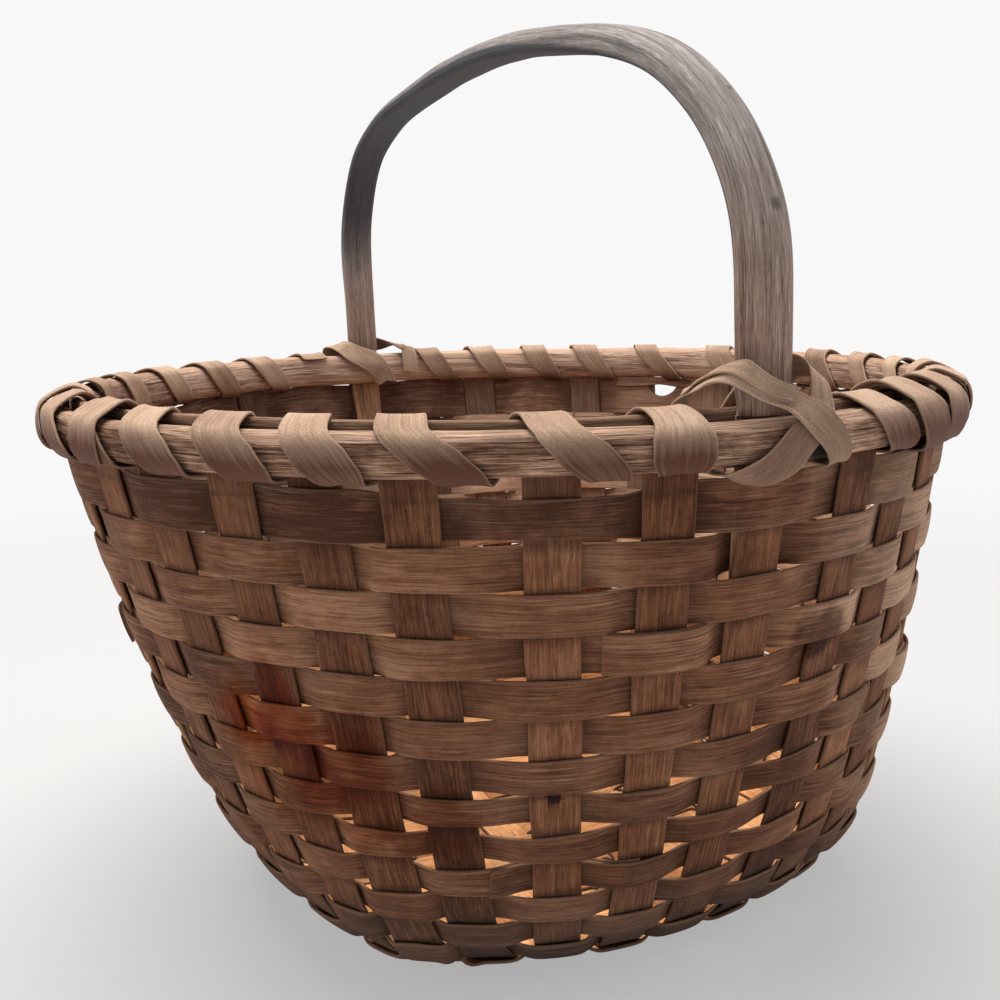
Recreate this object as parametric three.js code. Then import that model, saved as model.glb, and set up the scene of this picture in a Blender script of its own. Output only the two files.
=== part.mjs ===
// A round splint basket for gathering mushrooms, with one fixed bow handle. Millimetres, +Z up.
// The origin is on the floor under the middle of the rim, and the handle arches along the X axis.
// Sixteen through splints are woven flat into the base and bend up as thirty-two uprights.
// Fifteen weaver rings fill the wall, and two hoops, bound with splint, clamp the uprights' ends.

import * as THREE from 'three';

// Sizes of the whole bowl
const rimRadius = 152;
const rimHeight = 177;
const gap = 0.3;
const baseShiftX = 7;
const baseShiftY = 16.5;

// Sizes of the splints that make the base and the uprights
const uprightWidth = 14;
const uprightThick = 1.3;
const baseWindow = 2.2;
const uprightEndDrop = 1;
const baseLift = 0.7;
const saucerRise = 9;
const saucerFlat = 28;
const saucerReach = 92;

// Sizes of the weavers
const weaverThick = 1;
const rowGap = 0.8;
const firstRowDrop = 4.5;
const lastRowInset = 3;
const turnClear = 0.25;

// Sizes of the two hoops
const outerHoopThick = 5.5;
const outerHoopHeight = 11.2;
const innerHoopThick = 5;
const innerHoopHeight = 13.2;
const innerHoopRise = 2.2;
const hoopToWall = 1;
const scarfLength = 42;

// Sizes of the lashing splint
const lashThick = 0.8;
const lashWidth = 12.5;
const lashClear = 0.5;

// Sizes of the handle
const nearLegWidth = 15;
const farLegWidth = 13;
const legThick = 7.8;
const topThick = 9;
const handleRise = 109;
const handleBulge = 3.9;
const legOverhang = 4;
const tailThick = 3;
const tailTipThick = 1.4;
const tailTipWidth = 9;
const legBlend = 6;
const tailBumpReach = 26;

// Sizes of the crossed bands at the handle's feet; they climb higher up the near foot than the far one
const nearBandHeight = 14;
const farBandHeight = 7.5;
const bandLowHeight = 4;
const bandShoulder = 9;
const bandSpread = 22;
const bandSoftStep = 3.6;
const bandClear = 1.2;

// Counts
const lengthwiseSideCount = 4;
const crosswiseSideCount = 3;
const rowCount = 15;
const hoopStations = 64;
const archStations = 36;
const bandStations = 26;
const arcSamples = 400;
const tailRows = 4;
const lashLeadCount = 2;
const lashTrailCount = 5;

// Shape of the wall, as shares: how it draws in on its way down, and how hard it turns at the foot,
// where the last two are exponents of its outline
const drawInShare = 0.21;
const turnShare = 1.28;
const cornerShare = 3.46;

// Where on the rim the wall's length is measured, as a share of a whole turn from +X
const measuredTurnShare = -0.0625;

// Rows, counted from the top, where the wall changes slope: close together only where it turns in
const bendRowCounts = [3, 6, 8, 10, 11, 12, 13, 14, 15];

// How far some uprights have drifted along the rim: the upright's number, counted from the near foot,
// and its drift in shares of the even pitch
const driftShares = new Map([
  [-7, 0.27], [-6, 0.19], [-5, 0.15], [-4, 0.02], [-3, -0.16], [-2, 0.03], [-1, 0.06], [1, 0.18],
  [2, 0.02], [3, -0.12], [11, 0.33], [12, 0.28], [13, 0.15],
  [14, 0.05],
]);

// Outline of a hoop's round side as shares of its thickness and height, from its top edge down
const outerHoopShares = [[0.53, 0], [0.86, 0.12], [1, 0.3], [1, 0.72], [0.78, 0.93], [0.45, 1]];
const innerHoopShares = [[0.36, 0], [0.84, 0.12], [1, 0.35], [1, 0.67], [0.84, 0.88], [0.36, 1]];

// The flat middle of a hoop's round side, in shares of its height
const roundMiddleShare = 0.51;
const roundFlatShare = 0.3;

// Where the pared ends of the two hoops lie on each other, behind the handle on both sides
const outerScarfAngle = Math.PI * 0.62;
const innerScarfAngle = Math.PI * 1.32;

// The lashing's thirteen steps round the hoops: its sideways run in shares of one pitch, and its width
// in shares of the splint's, which narrows where it dips between two uprights
const lashRunShares = [-0.03, 0.02, 0.08, 0.16, 0.34, 0.43, 0.47, 0.53, 0.57, 0.66, 0.8, 0.89, 0.94];
const lashWidthShares = [1, 1.04, 1.1, 1.25, 1.25, 0.98, 0.7, 0.66, 0.8, 1, 1.05, 1, 1];

// Middle line of the handle in shares of its reach and rise, from the near foot to the far foot
const handleShares = [
  [0.975, 0.2], [0.972, 0.363], [0.947, 0.506], [0.875, 0.643], [0.78, 0.762], [0.635, 0.872],
  [0.418, 0.942], [0.168, 0.985], [-0.1, 1], [-0.361, 0.98], [-0.627, 0.927], [-0.857, 0.818],
  [-0.975, 0.613], [-1, 0.429], [-0.985, 0.2],
];

// Section of the handle in shares of its width and thickness: crowned outside, flatter inside
const handleSectionShares = [
  [-0.28, 0.5], [0.28, 0.5], [0.5, 0.14], [0.5, -0.22], [0.36, -0.5], [-0.36, -0.5],
  [-0.5, -0.22], [-0.5, 0.14],
];

// Middle lines of the two crossed bands at the handle's feet. Each place gives its run along the rim
// in shares of the band's spread, its corner number on the foot outline, its width in shares of the
// splint's, and how far it has climbed on to the other band, from 0 to 1. The under band goes behind
// the leg, which it does higher up at the near foot than at the far one
const overBandShares = [
  [-1, 8.5, 0.5, 0], [-1, 7.6, 0.5, 0], [-0.96, 6.9, 0.48, 0], [-0.86, 6.3, 0.48, 0.1],
  [-0.7, 5.6, 0.5, 0.3], [-0.55, 4.85, 0.5, 0.6], [-0.38, 4.45, 0.5, 1], [-0.18, 4.2, 0.5, 1.1],
  [0.1, 3.9, 0.5, 1.3], [0.28, 3.1, 0.52, 1.5], [0.48, 2.1, 0.52, 1.5], [0.65, 1.6, 0.5, 1.2],
  [0.75, 1.05, 0.48, 0.7], [0.79, 0.4, 0.45, 0.2], [0.79, -0.3, 0.45, 0],
];
const underFrontShares = [
  [-0.66, -0.3, 0.58, 0], [-0.66, 0.2, 0.58, 0], [-0.6, 0.55, 0.62, 0], [-0.42, 0.82, 0.68, 0],
  [-0.2, 1.1, 0.7, 0], [0, 1.5, 0.7, 0], [0.19, 1.9, 0.7, 0], [0.36, 2.45, 0.7, 0],
  [0.5, 3, 0.65, 0], [0.57, 3.6, 0.6, 0], [0.6, 4.3, 0.55, 0], [0.6, 4.9, 0.55, 0],
];
const nearUnderShares = [
  ...underFrontShares,
  [0.58, 5.5, 0.55, 0], [0.54, 6, 0.55, 0], [0.42, 6.4, 0.6, 0], [0.2, 6.75, 0.65, 0],
  [-0.05, 7.2, 0.7, 0], [-0.26, 7.9, 0.7, 0], [-0.36, 8.6, 0.7, 0],
];
const farUnderShares = [
  ...underFrontShares,
  [0.59, 5.5, 0.52, 0], [0.56, 6.2, 0.5, 0], [0.5, 6.9, 0.5, 0], [0.38, 7.35, 0.58, 0],
  [0.16, 7.65, 0.66, 0], [-0.08, 7.95, 0.7, 0], [-0.28, 8.35, 0.7, 0], [-0.38, 8.85, 0.7, 0],
];

// The handle's feet: the angle of each on the rim, how high its bands climb up the leg, and how broad
// they are in shares of the near foot's, since the far foot is bound with fuller strands
const footPlaces = [
  { side: 'near', angle: 0, height: nearBandHeight, broadShare: 1, underShares: nearUnderShares },
  { side: 'far', angle: Math.PI, height: farBandHeight, broadShare: 1.3, underShares: farUnderShares },
];

// Places worked out from the sizes above
const uprightCount = 2 * (2 * lengthwiseSideCount + 1) + 2 * (2 * crosswiseSideCount + 1);
const quarterTurn = uprightCount / 4;
const pitchAngle = (2 * Math.PI) / uprightCount;
const basePitch = uprightWidth + baseWindow;
const lengthwiseHalf = lengthwiseSideCount + 0.5;
const crosswiseHalf = crosswiseSideCount + 0.5;
const baseMiddle = uprightThick + gap / 2;
const crossingStep = (uprightThick + gap) / 2;
const weaveStep = (uprightThick + weaverThick) / 2 + gap;
const wallTop = rimHeight - outerHoopHeight - hoopToWall;
const wallFoot = baseMiddle + baseLift;
const facetShare = Math.cos(Math.PI / hoopStations);
const wallRadius = (rimRadius - outerHoopThick) * facetShare - uprightThick / 2 - gap;
const flatRadius = Math.sqrt(wallRadius ** 2 - (uprightWidth / 2) ** 2);
const innerHoopRadius = flatRadius - uprightThick / 2 - gap;
const tailBump = tailThick + gap;

const root = new THREE.Group();

const finishes = {
  handle: new THREE.MeshStandardMaterial({ color: 0x7d7368, roughness: 0.8, metalness: 0 }),
  hoop: new THREE.MeshStandardMaterial({ color: 0x8a6a52, roughness: 0.85, metalness: 0 }),
  lashing: new THREE.MeshStandardMaterial({ color: 0x94785f, roughness: 0.8, metalness: 0 }),
  upright: new THREE.MeshStandardMaterial({ color: 0x7a563e, roughness: 0.85, metalness: 0 }),
  weaver: new THREE.MeshStandardMaterial({ color: 0x8c6b52, roughness: 0.85, metalness: 0 }),
};

// A closed body through a row of sections, each a ring of points in the same order.
// A row that closes on itself joins its last section to its first; an open one gets two end faces.
function loft(sections, closed) {
  const size = sections[0].length;
  const positions = sections.flat().flatMap((point) => [point.x, point.y, point.z]);
  const index = [];
  const addQuad = (a, b, c, d) => {
    index.push(a, b, c);
    index.push(a, c, d);
  };
  const spans = closed ? sections.length : sections.length - 1;
  for (let row = 0; row < spans; row++) {
    const here = row * size;
    const next = ((row + 1) % sections.length) * size;
    for (let side = 0; side < size; side++) {
      const turn = (side + 1) % size;
      addQuad(here + side, here + turn, next + turn, next + side);
    }
  }
  if (!closed) {
    const last = (sections.length - 1) * size;
    for (let side = 0; side < size / 2 - 1; side++) {
      const far = size - 1 - side;
      addQuad(side, far, far - 1, side + 1);
      addQuad(last + side, last + side + 1, last + far - 1, last + far);
    }
  }
  const geometry = new THREE.BufferGeometry();
  geometry.setAttribute('position', new THREE.Float32BufferAttribute(positions, 3));
  geometry.setIndex(facesOut(positions, index) ? index : turned(index));
  geometry.computeVertexNormals();
  return geometry;
}

// Whether a closed set of triangles holds a positive volume, which means that its faces point out
function facesOut(positions, index) {
  const corner = (place) => new THREE.Vector3().fromArray(positions, index[place] * 3);
  let volume = 0;
  for (let place = 0; place < index.length; place += 3) {
    volume += corner(place).dot(corner(place + 1).cross(corner(place + 2)));
  }
  return volume > 0;
}

function turned(index) {
  return index.map((_, place) => index[place - (place % 3) + 2 - (place % 3)]);
}

function addPiece(name, geometry, finish) {
  const mesh = new THREE.Mesh(geometry, finish);
  mesh.name = name;
  root.add(mesh);
}

// A straight line between two values that runs on past both ends
function between(from, to, share) {
  return from + (to - from) * share;
}

// The angle of upright number k on the rim, counted round from +X; k may lie between uprights
function rimAngle(k) {
  const low = Math.floor(k);
  const share = k - low;
  return pitchAngle * (k + (1 - share) * drift(low) + share * drift(low + 1));
}

function drift(k) {
  const turn = ((k + uprightCount / 2) % uprightCount + uprightCount) % uprightCount;
  return driftShares.get(turn - uprightCount / 2) ?? 0;
}

// Where upright number k leaves the woven base, on the rectangle that the crossed splints make
function baseEdge(k) {
  const halfX = crosswiseHalf * basePitch;
  const halfY = lengthwiseHalf * basePitch;
  const turn = ((k + lengthwiseHalf) % uprightCount + uprightCount) % uprightCount - lengthwiseHalf;
  let edge = new THREE.Vector2((turn - 3 * quarterTurn) * basePitch, -halfY);
  if (turn <= 3 * quarterTurn - crosswiseHalf) {
    edge = new THREE.Vector2(-halfX, (2 * quarterTurn - turn) * basePitch);
  }
  if (turn <= 2 * quarterTurn - lengthwiseHalf) {
    edge = new THREE.Vector2((quarterTurn - turn) * basePitch, halfY);
  }
  if (turn <= lengthwiseHalf) {
    edge = new THREE.Vector2(halfX, turn * basePitch);
  }
  return edge;
}

// How far the base has risen at a distance from its middle: flat there, and a shallow saucer beyond
function saucerAt(distance) {
  const share = Math.max(0, distance - saucerFlat) / (saucerReach - saucerFlat);
  return saucerRise * share ** 2;
}

// A point on the middle of the wall: spread 0 is the base's edge and 1 is the rim, and depth runs
// from 0 under the hoops to 1 at the base's edge
function wallPoint(k, { spread, depth }) {
  const edge = baseEdge(k);
  const angle = rimAngle(k);
  const foot = wallFoot + saucerAt(edge.length());
  const x = between(edge.x + baseShiftX, wallRadius * Math.cos(angle), spread);
  const y = between(edge.y + baseShiftY, wallRadius * Math.sin(angle), spread);
  return new THREE.Vector3(x, y, between(wallTop, foot, depth));
}

// The wall's outline from the hoops (depth 0) to the base (depth 1)
function outlineAt(depth) {
  return { spread: (1 - drawInShare * depth) * (1 - depth ** turnShare) ** (1 / cornerShare), depth };
}

// The outline measured along its length, so that the rows have one width all the way down
const measured = [];
for (let sample = 0; sample <= arcSamples; sample++) {
  const place = outlineAt(1 - (1 - sample / arcSamples) ** 3);
  const point = wallPoint(measuredTurnShare * uprightCount, place);
  const before = measured[sample - 1];
  const length = before ? before.length + point.distanceTo(before.point) : 0;
  measured.push({ ...place, point, length });
}
const wallLength = measured[arcSamples].length;
const rowPitch = (wallLength - firstRowDrop - lastRowInset) / rowCount;

function outlineAfter(length) {
  const next = Math.max(1, measured.findIndex((place) => place.length >= length));
  const from = measured[next - 1];
  const to = measured[next];
  const share = (length - from.length) / (to.length - from.length);
  return { spread: between(from.spread, to.spread, share), depth: between(from.depth, to.depth, share) };
}

// The wall bends only at these rows, so a splint and the weavers on it share the same flats
const bends = [{ row: -firstRowDrop / rowPitch, spread: 1, depth: 0 }];
for (const row of bendRowCounts) {
  bends.push({ row, ...outlineAfter(firstRowDrop + row * rowPitch) });
}

function levelAt(row) {
  const next = Math.max(1, bends.findIndex((bend) => bend.row >= row));
  const from = bends[next - 1];
  const to = bends[next];
  const share = (row - from.row) / (to.row - from.row);
  return { spread: between(from.spread, to.spread, share), depth: between(from.depth, to.depth, share) };
}

// Both edges of a strip of a given half width that lies along upright k at one level of the wall
function stripEdges(k, level, halfWidth) {
  const middle = wallPoint(k, level);
  return [-0.5, 0.5].map((step) => {
    const share = (step * halfWidth) / wallPoint(k + step, level).distanceTo(middle);
    return wallPoint(k + share, level);
  });
}

// The direction that looks out of the wall at upright k, on the flat between two levels
function outward(k, upper, lower) {
  const [left, right] = stripEdges(k, lower, uprightWidth / 2);
  const down = wallPoint(k, lower).sub(wallPoint(k, upper));
  return down.cross(right.sub(left)).normalize();
}

function moved(point, direction, distance) {
  return point.clone().addScaledVector(direction, distance);
}

// One section of a flat strip: its two edges, thickened both ways along a direction
function flatSection(edges, direction, step, thick) {
  const [left, right] = edges;
  return [
    moved(left, direction, step + thick / 2), moved(right, direction, step + thick / 2),
    moved(right, direction, step - thick / 2), moved(left, direction, step - thick / 2),
  ];
}

// The level of the uprights' cut ends, straight up from where the hoops clamp them
const endLevel = { spread: 1, depth: (wallTop - rimHeight + uprightEndDrop) / (wallTop - wallFoot) };

// The part of a through splint that stands in the wall, from its cut end at the rim to the base
function uprightSections(k) {
  const levels = [endLevel, ...bends];
  return levels.map((level, place) => {
    const above = levels[Math.max(0, place - 1)];
    const below = levels[Math.min(levels.length - 1, place + 1)];
    return flatSection(stripEdges(k, level, uprightWidth / 2), outward(k, above, below), 0, uprightThick);
  });
}

// The part of a through splint that lies in the base, going over and under the splints it crosses.
// Each crossing is flat and square to the saucer at its own middle.
function baseSections(along, across, offset, crossings, startsUnder) {
  const half = uprightWidth / 2;
  const toCorner = (half + turnClear) * Math.SQRT2;
  const sections = [];
  for (let crossing = -crossings; crossing <= crossings; crossing++) {
    const under = (crossing + crossings) % 2 === 0 ? startsUnder : !startsUnder;
    const middle = along.clone().multiplyScalar(crossing * basePitch).addScaledVector(across, offset);
    const distance = middle.length();
    const nearHeight = saucerAt(distance - toCorner);
    const farHeight = saucerAt(distance + toCorner);
    const steepness = (farHeight - nearHeight) / (2 * toCorner);
    const lean = distance > 0 ? middle.clone().multiplyScalar(-steepness / distance) : middle;
    const height = baseMiddle + (nearHeight + farHeight) / 2;
    const up = new THREE.Vector3(lean.x, lean.y, 1).normalize();
    const run = across.clone().cross(up).normalize();
    run.multiplyScalar(Math.sign(run.dot(along)));
    const side = up.clone().cross(run);
    middle.add(new THREE.Vector3(baseShiftX, baseShiftY, height));
    for (const end of [-1, 1]) {
      const place = moved(middle, run, end * (half + turnClear));
      const edges = [moved(place, side, -half), moved(place, side, half)];
      sections.push(flatSection(edges, up, under ? -crossingStep : crossingStep, uprightThick));
    }
  }
  return sections;
}

// A through splint: up one side, across the base and up the other side.
// Each half's section is turned so that its four corners keep one order all the way along.
function throughSplint(startK, endK, base) {
  const start = uprightSections(startK).map((ring) => [ring[2], ring[3], ring[0], ring[1]]);
  const end = uprightSections(endK).map((ring) => [ring[3], ring[2], ring[1], ring[0]]).reverse();
  return loft([...start, ...base, ...end], false);
}

for (let place = -lengthwiseSideCount; place <= lengthwiseSideCount; place++) {
  const along = new THREE.Vector3(1, 0, 0);
  const across = new THREE.Vector3(0, -1, 0);
  const under = (place + crosswiseSideCount) % 2 !== 0;
  const base = baseSections(along, across, -place * basePitch, crosswiseSideCount, under);
  const number = place + lengthwiseSideCount + 1;
  const geometry = throughSplint(2 * quarterTurn - place, place, base);
  addPiece(`lengthwise_splint_${number}`, geometry, finishes.upright);
}

for (let place = -crosswiseSideCount; place <= crosswiseSideCount; place++) {
  const along = new THREE.Vector3(0, 1, 0);
  const across = new THREE.Vector3(1, 0, 0);
  const under = (place + lengthwiseSideCount) % 2 === 0;
  const base = baseSections(along, across, place * basePitch, lengthwiseSideCount, under);
  const number = place + crosswiseSideCount + 1;
  const geometry = throughSplint(3 * quarterTurn + place, quarterTurn - place, base);
  addPiece(`crosswise_splint_${number}`, geometry, finishes.upright);
}

// How far a splint's flat is twisted off its middle plane between the two bends round a row
function twistAt(k, row) {
  const lower = bends.find((bend) => bend.row >= row);
  const upper = bends[bends.indexOf(lower) - 1];
  const down = wallPoint(k, lower).sub(wallPoint(k, upper));
  const [first, second] = [upper, lower].map((level) => {
    const [left, right] = stripEdges(k, level, uprightWidth / 2);
    return down.clone().cross(right.sub(left));
  });
  return (Math.sin(first.angleTo(second)) * uprightWidth) / 2;
}

// How thick the handle's tail is at a row, which is what an inner weaver must step round
function tailThickAt(row) {
  return between(tailThick, tailTipThick, Math.max(0, row) / tailRows);
}

// One weaver ring, flat over each upright and slanting between them, out and in by turns
function weaverRing(row) {
  const top = levelAt(row - 1 + rowGap / 2 / rowPitch);
  const bottom = levelAt(row - rowGap / 2 / rowPitch);
  const sections = [];
  for (let k = 0; k < uprightCount; k++) {
    const outside = (row + k) % 2 !== 0;
    const holdsTail = k % (2 * quarterTurn) === 0 && row <= tailRows;
    const clear = weaveStep + twistAt(k, row);
    const inside = holdsTail ? clear + tailThickAt(row - 1) + gap : clear;
    const step = outside ? clear : -inside;
    const direction = outward(k, top, bottom);
    const upper = stripEdges(k, top, uprightWidth / 2 + turnClear);
    const lower = stripEdges(k, bottom, uprightWidth / 2 + turnClear);
    sections.push(flatSection([upper[0], lower[0]], direction, step, weaverThick));
    sections.push(flatSection([upper[1], lower[1]], direction, step, weaverThick));
  }
  return loft(sections, true);
}

for (let row = 1; row <= rowCount; row++) {
  addPiece(`weaver_row_${String(row).padStart(2, '0')}`, weaverRing(row), finishes.weaver);
}

// A point near the rim from its angle, its distance from the middle and its height over the rim
function rimPoint(angle, radius, rise) {
  return new THREE.Vector3(radius * Math.cos(angle), radius * Math.sin(angle), rimHeight + rise);
}

// How far the inner hoop is pushed in where it passes the handle's two tails
function hoopBump(angle) {
  const away = Math.abs(Math.sin(angle)) * wallRadius - nearLegWidth / 2;
  const share = Math.min(1, Math.max(0, away) / tailBumpReach);
  return (tailBump * (1 + Math.cos(Math.PI * share))) / 2;
}

// A section pared down towards one side; towards a round side it also loses height
function paredTo(section, share, sideDepth, sideIsRound) {
  const rises = section.map(([, rise]) => rise);
  const middle = between(Math.max(...rises), Math.min(...rises), roundMiddleShare);
  const keptHeight = sideIsRound ? between(roundFlatShare, 1, share) : 1;
  return section.map(([depth, rise]) => (
    [between(sideDepth, depth, share), between(middle, rise, keptHeight)]
  ));
}

// A hoop bent from one rod, whose two ends are pared to long slopes and lie on each other
function hoop({ section, thick, startAngle, bump, radius, roundOutside }) {
  const lap = scarfLength / radius;
  const turn = 2 * Math.PI + lap;
  const count = Math.round((hoopStations * turn) / (2 * Math.PI));
  const tip = gap / thick;
  const sections = [];
  for (let station = 0; station <= count; station++) {
    const run = (turn * station) / count;
    const angle = startAngle + run;
    let pared = section;
    if (run < lap) {
      pared = paredTo(section, between(tip, 1 - tip, run / lap), thick, !roundOutside);
    }
    if (turn - run < lap) {
      const share = between(tip, 1 - tip, (turn - run) / lap) - tip / 2;
      pared = paredTo(section, share, 0, roundOutside);
    }
    sections.push(pared.map(([depth, rise]) => rimPoint(angle, radius - depth - bump(angle), rise)));
  }
  return loft(sections, false);
}

// The outer hoop's section, as depth in from its outer face and height over the rim
const outerRound = outerHoopShares.map(([thick, height]) => (
  [(1 - thick) * outerHoopThick, -height * outerHoopHeight]
));
const outerHoop = {
  section: [[outerHoopThick, 0], ...outerRound, [outerHoopThick, -outerHoopHeight]],
  thick: outerHoopThick,
  startAngle: outerScarfAngle,
  bump: () => 0,
  radius: rimRadius,
  roundOutside: true,
};
addPiece('outer_rim_hoop', hoop(outerHoop), finishes.hoop);

// The inner hoop's section, as depth in from its outer face: round side in, and its top stands higher
const innerRound = innerHoopShares.map(([thick, height]) => (
  [thick * innerHoopThick, innerHoopRise - height * innerHoopHeight]
));
const innerHoop = {
  section: [[0, innerHoopRise], ...innerRound, [0, innerHoopRise - innerHoopHeight]],
  thick: innerHoopThick,
  startAngle: innerScarfAngle,
  bump: hoopBump,
  radius: innerHoopRadius,
  roundOutside: false,
};
addPiece('inner_rim_hoop', hoop(innerHoop), finishes.hoop);

// The line that the lashing follows round both hoops: over the top, down outside and up inside.
// Each corner is given as radius and height over the rim, then moved out by the lashing's offset.
function lashCorners(angle) {
  const innerFace = innerHoopRadius - hoopBump(angle);
  const inner = innerRound.map(([depth, rise]) => [innerFace - depth, rise]);
  const outer = outerRound.map(([depth, rise]) => [rimRadius - depth, rise]);
  const corners = [[innerFace, innerHoopRise], ...outer, ...inner.reverse()];
  return corners.map((corner, place) => {
    const before = corners[(place + corners.length - 1) % corners.length];
    const after = corners[(place + 1) % corners.length];
    const normals = [[before, corner], [corner, after]].map(([from, to]) => (
      new THREE.Vector2(from[1] - to[1], to[0] - from[0]).normalize()
    ));
    const normal = normals[0].clone().add(normals[1]).normalize();
    return { radius: corner[0], rise: corner[1], normal, miter: 1 / normal.dot(normals[0]) };
  });
}

// One station of the lashing: a short flat line along the rim with its thickness in and out
function lashStation(k, place, halfWidth) {
  const at = (side, offset) => {
    const angle = rimAngle(k) + (side * halfWidth) / rimRadius;
    const { radius, rise, normal, miter } = lashCorners(angle)[place];
    return rimPoint(angle, radius + normal.x * offset * miter, rise + normal.y * offset * miter);
  };
  const far = lashClear + lashThick;
  return [at(-1, far), at(1, far), at(1, lashClear), at(-1, lashClear)];
}

// One unbroken lashing that winds once round the hoops at each upright from firstK to lastK
function lashing(firstK, lastK) {
  const steps = lashRunShares.length;
  const sections = [];
  const centres = [];
  const lastWrap = (lastK - firstK) * steps;
  for (let step = -lashLeadCount; step <= lastWrap + lashTrailCount; step++) {
    const place = ((step % steps) + steps) % steps;
    const run = step > lastWrap ? lashRunShares[1] : lashRunShares[place];
    const k = firstK + (step - place) / steps + run;
    const section = lashStation(k, place, (lashWidth * lashWidthShares[place]) / 2);
    sections.push(section);
    centres.push({ step, points: section });
  }
  return { geometry: loft(sections, false), centres, steps };
}

// The least distance between stations that are more than half a turn apart, over all their corners
function leastGap({ centres, steps }) {
  let least = Infinity;
  for (const one of centres) {
    for (const other of centres) {
      if (other.step - one.step > steps / 2) {
        for (const from of one.points) {
          for (const to of other.points) {
            least = Math.min(least, from.distanceTo(to));
          }
        }
      }
    }
  }
  return least;
}

const windings = {
  rim_lashing_front: lashing(1 - 2 * quarterTurn, -1),
  rim_lashing_back: lashing(1, 2 * quarterTurn - 1),
};
for (const [name, winding] of Object.entries(windings)) {
  addPiece(name, winding.geometry, finishes.lashing);
  console.log(`${name}: least gap to itself ${leastGap(winding).toFixed(2)} mm`);
}

// The handle: a bow with a crowned section, and a thin tail on each foot that runs down inside
function handleSection(middle, across, outwards, width, thick) {
  return handleSectionShares.map(([side, depth]) => (
    moved(moved(middle, across, side * width), outwards, depth * thick)
  ));
}

const legOuter = rimRadius - legOverhang;
const footRadius = legOuter - legThick / 2;
const handleReach = footRadius + handleBulge;
const tailOuter = flatRadius - uprightThick / 2 - gap;

// The tail and shoulder of one foot, from the tip up; turn is 1 at the near foot and -1 at the far
function footSections(k, turn, width) {
  const across = new THREE.Vector3(0, 1, 0);
  const out = new THREE.Vector3(turn, 0, 0);
  const sections = [tailRows, bendRowCounts[0], bends[0].row].map((row) => {
    const level = levelAt(row);
    const [left, right] = stripEdges(k, level, uprightWidth / 2);
    const direction = row > bends[0].row ? outward(k, levelAt(row - 1), level) : out;
    const thick = tailThickAt(row);
    const share = Math.max(0, row) / tailRows;
    const middle = left.clone().add(right).multiplyScalar(0.5);
    const place = moved(middle, direction, -uprightThick / 2 - gap - thick / 2);
    const side = right.clone().sub(left).normalize().multiplyScalar(turn);
    return handleSection(place, side, direction, between(width, tailTipWidth, share), thick);
  });
  const rise = [gap, gap, innerHoopRise + gap, legBlend];
  const inner = [tailOuter - tailThick, tailOuter - tailThick, tailOuter - tailThick, legOuter - legThick];
  const outer = [tailOuter, legOuter, legOuter, legOuter];
  rise.forEach((height, place) => {
    const radius = (inner[place] + outer[place]) / 2;
    const middle = new THREE.Vector3(turn * radius, 0, rimHeight + height);
    sections.push(handleSection(middle, across, out, width, outer[place] - inner[place]));
  });
  return sections;
}

const handleLine = new THREE.CatmullRomCurve3([
  new THREE.Vector3(footRadius, 0, rimHeight + legBlend),
  ...handleShares.map(([reach, rise]) => (
    new THREE.Vector3(reach * handleReach, 0, rimHeight + rise * handleRise)
  )),
  new THREE.Vector3(-footRadius, 0, rimHeight + legBlend),
], false, 'centripetal');

const archSections = [];
for (let station = 1; station < archStations; station++) {
  const share = station / archStations;
  const across = new THREE.Vector3(0, 1, 0);
  const out = across.clone().cross(handleLine.getTangentAt(share));
  const thick = between(legThick, topThick, Math.sin(Math.PI * share));
  const width = between(nearLegWidth, farLegWidth, share);
  archSections.push(handleSection(handleLine.getPointAt(share), across, out, width, thick));
}
const nearFoot = footSections(0, 1, nearLegWidth);
const farFoot = footSections(2 * quarterTurn, -1, farLegWidth).reverse();
addPiece('handle_bow', loft([...nearFoot, ...archSections, ...farFoot], false), finishes.handle);

// The outline that the crossed bands follow at a handle's foot, as corners numbered from the middle
// of the underside: up the outer hoop, up the leg, over its height and down inside again
function footOutline(along, height) {
  const away = Math.abs(along);
  const share = Math.min(1, Math.max(0, (away - bandShoulder) / (bandSpread - bandShoulder)));
  const top = between(height, bandLowHeight, share);
  const inner = innerHoopRadius - innerHoopThick - hoopBump(along / rimRadius) - bandClear - gap;
  const under = -outerHoopHeight - lashClear;
  const out = rimRadius + bandClear;
  const legIn = legOuter - legThick - bandClear;
  const legOut = legOuter + bandClear;
  return [
    new THREE.Vector2(wallRadius, under),
    new THREE.Vector2(out, under),
    new THREE.Vector2(out, -bandSoftStep),
    new THREE.Vector2(between(legOut, out, outerHoopShares[1][0]), 0),
    new THREE.Vector2(legOut, bandSoftStep),
    new THREE.Vector2(legOut, top),
    new THREE.Vector2(legIn, top),
    new THREE.Vector2(legIn, innerHoopRise + bandSoftStep),
    new THREE.Vector2(inner, innerHoopRise - bandSoftStep),
    new THREE.Vector2(inner, innerHoopRise - innerHoopHeight),
  ];
}

// The foot outline measured along its length, from its corner 0 all the way round
function measuredOutline(along, height) {
  const corners = footOutline(along, height);
  const runs = corners.map((corner, place) => corner.distanceTo(corners[(place + 1) % corners.length]));
  const whole = runs.reduce((sum, run) => sum + run, 0);
  return { corners, runs, whole };
}

function lengthAtCorner({ runs, whole }, corner) {
  const turns = Math.floor(corner / runs.length);
  const place = corner - turns * runs.length;
  const low = Math.floor(place);
  const passed = runs.slice(0, low).reduce((sum, run) => sum + run, 0);
  return turns * whole + passed + runs[low] * (place - low);
}

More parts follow.
